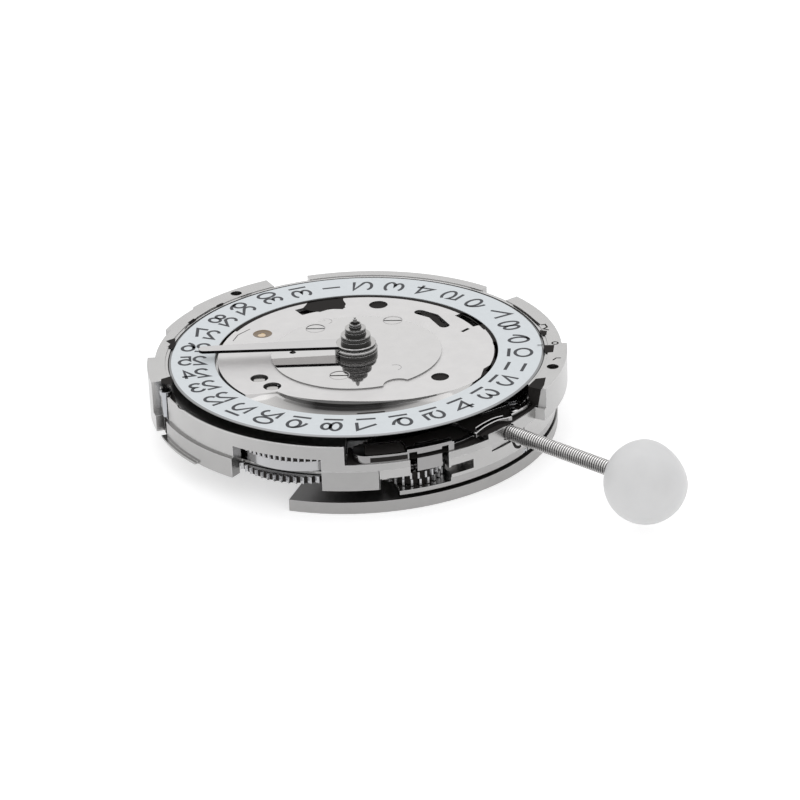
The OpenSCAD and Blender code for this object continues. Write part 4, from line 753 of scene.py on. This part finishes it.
SINK_GLINT = [(0.3, -0.134), (0.26, -0.115), (0.15, -0.11), (0.0, -0.11)]


def pins_and_jewel():
    for k, at in enumerate(PINS_AT):
        piece("cover_pin_%d" % (k + 1), turned(PIN, 32, polar(*at)[:2]), TOWER, "movement")
    jewel = polar(*JEWEL_AT)
    piece("date_jewel_sink", turned(SINK, 40, jewel[:2]), AMBER, "movement")
    piece("date_jewel_glint", turned(SINK_GLINT, 24, (jewel + polar(*GLINT_AT))[:2]), PAINTED_GLINT, "movement")


pins_and_jewel()

# Date ring: a thin stamped steel ring with a bevelled rim, its flat face lacquered white.
# It lies loose in the plate's channel, round the cover's edge.
# The rim's steel has its walls painted darker as shade.
RIM = metal("ring_rim", (0.34, 0.345, 0.35), (0.5, 0.5, 0.5), 0.3, 0.02, EVEN, 0.02, 0.2)
WHITE = coated("ring_white", (0.69, 0.73, 0.753), 0.35)
RING_TOP, RING_STEPS = -0.05, 256
RING_PROFILE = [(9.55, -0.35), (12.29, -0.35), (12.65, -0.15), (12.64, -0.12), (12.54, -0.08), (12.5, -0.06),
    (9.6, -0.06), (9.55, -0.1), (9.55, -0.35)]
FACE_PROFILE = [(12.5, -0.062), (12.48, RING_TOP), (9.58, RING_TOP), (9.56, -0.07)]
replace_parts(piece("ring_body", turned(RING_PROFILE, RING_STEPS), RIM, "date_ring"), "date_ring")
piece("ring_face", turned(FACE_PROFILE, RING_STEPS), WHITE, "date_ring")


# Date numerals: printed in black with one even stroke, and reading in a mirror as the photo shows them.
# Each figure is drawn on a unit cell, x to the right and y up.
def arc(cx, cy, rx, ry, start, end, steps=14):
    turn = [math.radians(start + (end - start)*i/steps) for i in range(steps + 1)]
    return [(cx + rx*math.cos(a), cy + ry*math.sin(a)) for a in turn]


INK = coated("ring_ink", (0.03, 0.033, 0.04), 0.5)
FIGURES = {
    "0": [arc(0.5, 0.5, 0.5, 0.5, 0, 360, 30)],
    "1": [[(0.5, 0), (0.5, 1)]],
    "2": [arc(0.5, 0.7, 0.46, 0.3, 170, -30) + [(0.02, 0), (1.0, 0)]],
    "3": [arc(0.47, 0.76, 0.42, 0.24, 165, -90) + arc(0.48, 0.27, 0.5, 0.27, 80, -165)],
    "4": [[(1.0, 0.27), (0.0, 0.27), (0.7, 1), (0.7, 0)]],
    "5": [[(0.92, 1), (0.16, 1), (0.08, 0.52)] + arc(0.47, 0.33, 0.5, 0.33, 130, -155)],
    "6": [arc(0.5, 0.33, 0.48, 0.33, 0, 360, 26), arc(0.86, 0.33, 0.84, 0.67, 180, 100, 8)],
    "7": [[(0.02, 1), (0.98, 1), (0.36, 0)]],
    "8": [arc(0.5, 0.77, 0.38, 0.23, 0, 360, 22), arc(0.5, 0.27, 0.5, 0.27, 0, 360, 26)],
    "9": [arc(0.5, 0.67, 0.48, 0.33, 0, 360, 26), arc(0.14, 0.67, 0.84, 0.67, 0, -80, 8)],
}
DATES, NUMERAL_R, FIRST_DATE_AT, FIGURE_H, STROKE = 31, 11.05, 142.3, 1.25, 0.22
# A single figure is wide, those of the teens a little less, and the pairs of the twenties are narrow
SINGLE_W, TEEN_W, PAIR_W, PAIR_STEP, TEEN_STEP, ELEVEN_STEP = 1.38, 1.12, 0.82, 0.97, 0.98, 1.12
# Small shifts of the print, outward and along the ring
NUDGE = {7: (0.2, 0), 24: (0, 0.15), 25: (0, 0.3), 26: (0, 0.4), 27: (0, 0.4), 28: (0, 0.2), 29: (0.22, 0.2),
    30: (0.3, 0)}


def cells_of(date):
    """The place outward of the middle and the width of each figure's cell."""
    if date < 10:
        return [(0, SINGLE_W)]
    if date == 11:
        return [(-ELEVEN_STEP/2, TEEN_W), (ELEVEN_STEP/2, TEEN_W)]
    if date < 20:
        return [(-TEEN_STEP/2 - TEEN_W/4, TEEN_W), (TEEN_STEP/2 - TEEN_W/4, TEEN_W)]
    if date % 10 == 1:
        return [(TEEN_W/4 - TEEN_STEP/2, TEEN_W), (TEEN_STEP/2 + TEEN_W/4, TEEN_W)]
    return [(-PAIR_STEP/2, PAIR_W), (PAIR_STEP/2, PAIR_W)]


def numerals():
    mesh = bmesh.new()
    for date in range(1, DATES + 1):
        bearing = FIRST_DATE_AT - (date - 1)*360/DATES
        out, up = polar(1, bearing), polar(1, bearing - 90)
        outward, along = NUDGE.get(date, (0, 0))
        for figure, (shift, wide) in zip(str(date), cells_of(date)):
            middle = out*(NUMERAL_R + shift + outward) - up*along + Vector((0, 0, RING_TOP + RISE))
            for points in FIGURES[figure]:
                drawn = [middle + out*(x - 0.5)*wide + up*(y - 0.5)*FIGURE_H for x, y in points]
                stroke(mesh, [p*MM for p in drawn], STROKE*MM)
    piece("ring_numerals", mesh, INK, "date_ring", False)


numerals()

# Hand seats: polished steel pipes one inside the other, with turned grooves and rounded ledges, their walls
# painted dark as shade and their edges painted bright as highlights.
# The seconds pinion's tip stands out of the middle.
finish(TOWER, "gmt_wheel hour_wheel cannon_pinion seconds_pinion centre_arbor")
SEATS = {
    "minute_seat": [(0.15, 2.09), (0.3, 2.104), (0.36, 2.095), (0.406, 2.05), (0.406, 1.99), (0.37, 1.97),
        (0.37, 1.93), (0.406, 1.91), (0.406, 1.81)],
    "hour_seat": [(0.43, 1.804), (0.6, 1.806), (0.67, 1.79), (0.706, 1.75), (0.706, 1.66), (0.66, 1.64),
        (0.66, 1.57), (0.706, 1.55), (0.706, 1.31)],
    "gmt_hand": [(0.73, 1.304), (0.9, 1.306), (0.97, 1.29), (1.006, 1.25), (1.006, 1.1), (0.95, 1.08),
        (0.95, 1.0), (1.006, 0.98), (1.006, 0.72)],
}
NEEDLE = [(0.0, 2.565), (0.05, 2.56), (0.08, 2.53), (0.08, 2.45), (0.138, 2.43), (0.138, 2.11)]
TOP_SHADE = [(0.15, 2.108), (0.31, 2.109), (0.33, 2.1)]
for seat, profile in SEATS.items():
    piece(seat + "_sleeve", turned(profile, 96), TOWER, seat)
piece("seconds_tip", turned(NEEDLE, 32), ROD, "seconds_seat")
# A flat ring of painted shade on the minute seat's top, round the tip.
piece("minute_top_shade", turned(TOP_SHADE, 48), PAINTED_SHADE, "minute_seat", False)

# 24-hour hand: a flat polished steel blade with a round end, stamped and ground.
# Its grooved hub is riveted to it and pressed on the outermost pipe.
# The blade's steel is painted nearly black on its sides as shade.
HAND = metal("hand_steel", (0.70, 0.69, 0.69), (0.72, 0.72, 0.72), 0.05, 0.01, EVEN, 0.01, 0.01)
HAND_AT, HAND_Z, HAND_CHAMFER = 224, (0.5, 0.72), 0.015
# The blade meets the hub over this bearing to either side, and runs to the centre of its round end
HAND_HUB_R, HAND_HUB_AT, HAND_TIP, HAND_TIP_R = 1.32, 30, 10.22, 0.38
HAND_RING = [(1.0, 0.42), (1.0, 0.7), (1.02, 0.72), (1.31, 0.72), (1.33, 0.7), (1.33, 0.42), (1.0, 0.42)]
HUB = [(1.01, 0.722), (1.1, 0.74), (1.28, 0.74), (1.34, 0.7), (1.345, 0.62), (1.29, 0.6), (1.29, 0.54),
    (1.345, 0.52), (1.345, 0.46), (1.4, 0.43), (1.44, 0.38), (1.44, 0.31), (1.39, 0.28), (1.39, 0.22),
    (1.44, 0.19), (1.44, 0.01)]


def hand():
    mesh = turned(HAND_RING, 96)
    root = [polar(HAND_HUB_R, a)[:2] for a in range(HAND_HUB_AT, -HAND_HUB_AT - 1, -6)]
    tip = [polar(HAND_TIP_R, a) for a in range(-90, 91, 15)]
    block(mesh, root + [(HAND_TIP + p.x, p.y) for p in tip], *HAND_Z, HAND_CHAMFER)
    bmesh.ops.recalc_face_normals(mesh, faces=mesh.faces)
    turn = Matrix.Rotation(math.radians(HAND_AT), 3, "Z")
    bmesh.ops.rotate(mesh, cent=(0, 0, 0), matrix=turn, verts=mesh.verts)
    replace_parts(piece("hand_blade", mesh, HAND, "gmt_hand", False), "gmt_hand")
    piece("hand_hub", turned(HUB, 96), TOWER, "gmt_hand")


hand()

# Automatic works: a nickel plated bridge with violet anodised reverser wheels and a gilt reduction wheel.
# The heavy satin rotor turns on a ball bearing of steel and ceramic, held by one screw.
VIOLET = metal("violet_wheel", (0.34, 0.08, 0.24), (0.62, 0.25, 0.5), 0.28, 0.08)
WEIGHT = metal("weight_nickel", (0.385, 0.38, 0.375), (0.72, 0.72, 0.72), 0.3, 0.2, (300, 300, 9000))
CERAMIC = coated("ceramic_balls", (0.8, 0.8, 0.78), 0.1)
finish(BRIDGE, "auto_bridge")
finish(VIOLET, "reverser_wheel_1 reverser_wheel_2")
finish(GILT, "reduction_wheel")
finish(STEEL, "bearing_inner rotor_hub")
finish(CERAMIC, "bearing_balls")
finish(SCREW, "rotor_screw")
finish(WEIGHT, "rotor_plate rotor_weight")

# Room: a soft white room with a darker horizon for the metal to mirror, and a broad light panel overhead.
# The camera itself sees plain white behind the table.
ROOM_TONES = [(0.0, (0.75, 0.75, 0.75)), (0.1, (0.4, 0.4, 0.4)), (0.25, (0.9, 0.9, 0.9)),
    (0.6, (1.0, 1.0, 1.0)), (1.0, (0.95, 0.95, 0.97))]
ROOM_GLOW, WHITE_GLOW = 0.95, 1.0
PANEL_SIZE, PANEL_POWER, PANEL_AT = 0.3, 0.12, (-0.1, 0.1, 0.35)


def room():
    world = bpy.data.worlds.new("room")
    scene.world = world
    world.use_nodes = True
    tree = world.node_tree
    tree.nodes.clear()
    parts = node(tree, "SeparateXYZ", Vector=node(tree, "TexCoord").outputs["Generated"])
    tone = tones_by(tree, parts.outputs["Z"], ROOM_TONES)
    glow = node(tree, "Background", Color=tone, Strength=ROOM_GLOW)
    plain = node(tree, "Background", Color=(1, 1, 1, 1), Strength=WHITE_GLOW)
    seen = node(tree, "LightPath").outputs["Is Camera Ray"]
    mix = node(tree, "MixShader", Fac=seen, i1=glow.outputs[0], i2=plain.outputs[0])
    node(tree, "OutputWorld", i0=mix.outputs[0])
    lamp = bpy.data.objects.new("panel_top", bpy.data.lights.new("panel_top", "AREA"))
    scene.collection.objects.link(lamp)
    lamp.data.shape, lamp.data.size = "SQUARE", PANEL_SIZE
    lamp.data.energy = PANEL_POWER
    lamp.location = PANEL_AT
    lamp.rotation_mode = "QUATERNION"
    lamp.rotation_quaternion = (-lamp.location).to_track_quat("-Z", "Y")


room()

# Floor: a pale table that the movement lies on, lit through from below like a light table.
# Its glow falls off towards the camera, so that the plate's front wall mirrors a darker table.
FLOOR_Z, FLOOR_SIZE, FLOOR_TONE = -5.22, 3, (0.8, 0.8, 0.8, 1)
FLOOR_FADE, FLOOR_GLOW, FLOOR_SEEN_GLOW = (12, 21), (0.42, 0.2), 0.45


def floor():
    mesh = bmesh.new()
    bmesh.ops.create_grid(mesh, x_segments=1, y_segments=1, size=FLOOR_SIZE,
        matrix=Matrix.Translation((0, 0, FLOOR_Z*MM)))
    data = bpy.data.meshes.new("floor")
    mesh.to_mesh(data)
    mesh.free()
    made = bpy.data.objects.new("floor", data)
    scene.collection.objects.link(made)
    pale, tree, shader = new_finish("pale_floor", 0.7)
    shader.inputs["Base Color"].default_value = FLOOR_TONE
    shader.inputs["Emission Color"].default_value = (1, 1, 1, 1)
    towards = dot(tree, node(tree, "TexCoord").outputs["Object"], polar(1, AZIMUTH - 90))
    mirrored = ranged(tree, towards, *[d*MM for d in FLOOR_FADE], *FLOOR_GLOW)
    seen = maths(tree, "MULTIPLY", node(tree, "LightPath").outputs["Is Camera Ray"], FLOOR_SEEN_GLOW)
    tree.links.new(maths(tree, "MAXIMUM", mirrored, seen), shader.inputs["Emission Strength"])
    data.materials.append(pale)


floor()
scene.view_settings.view_transform = "Standard"
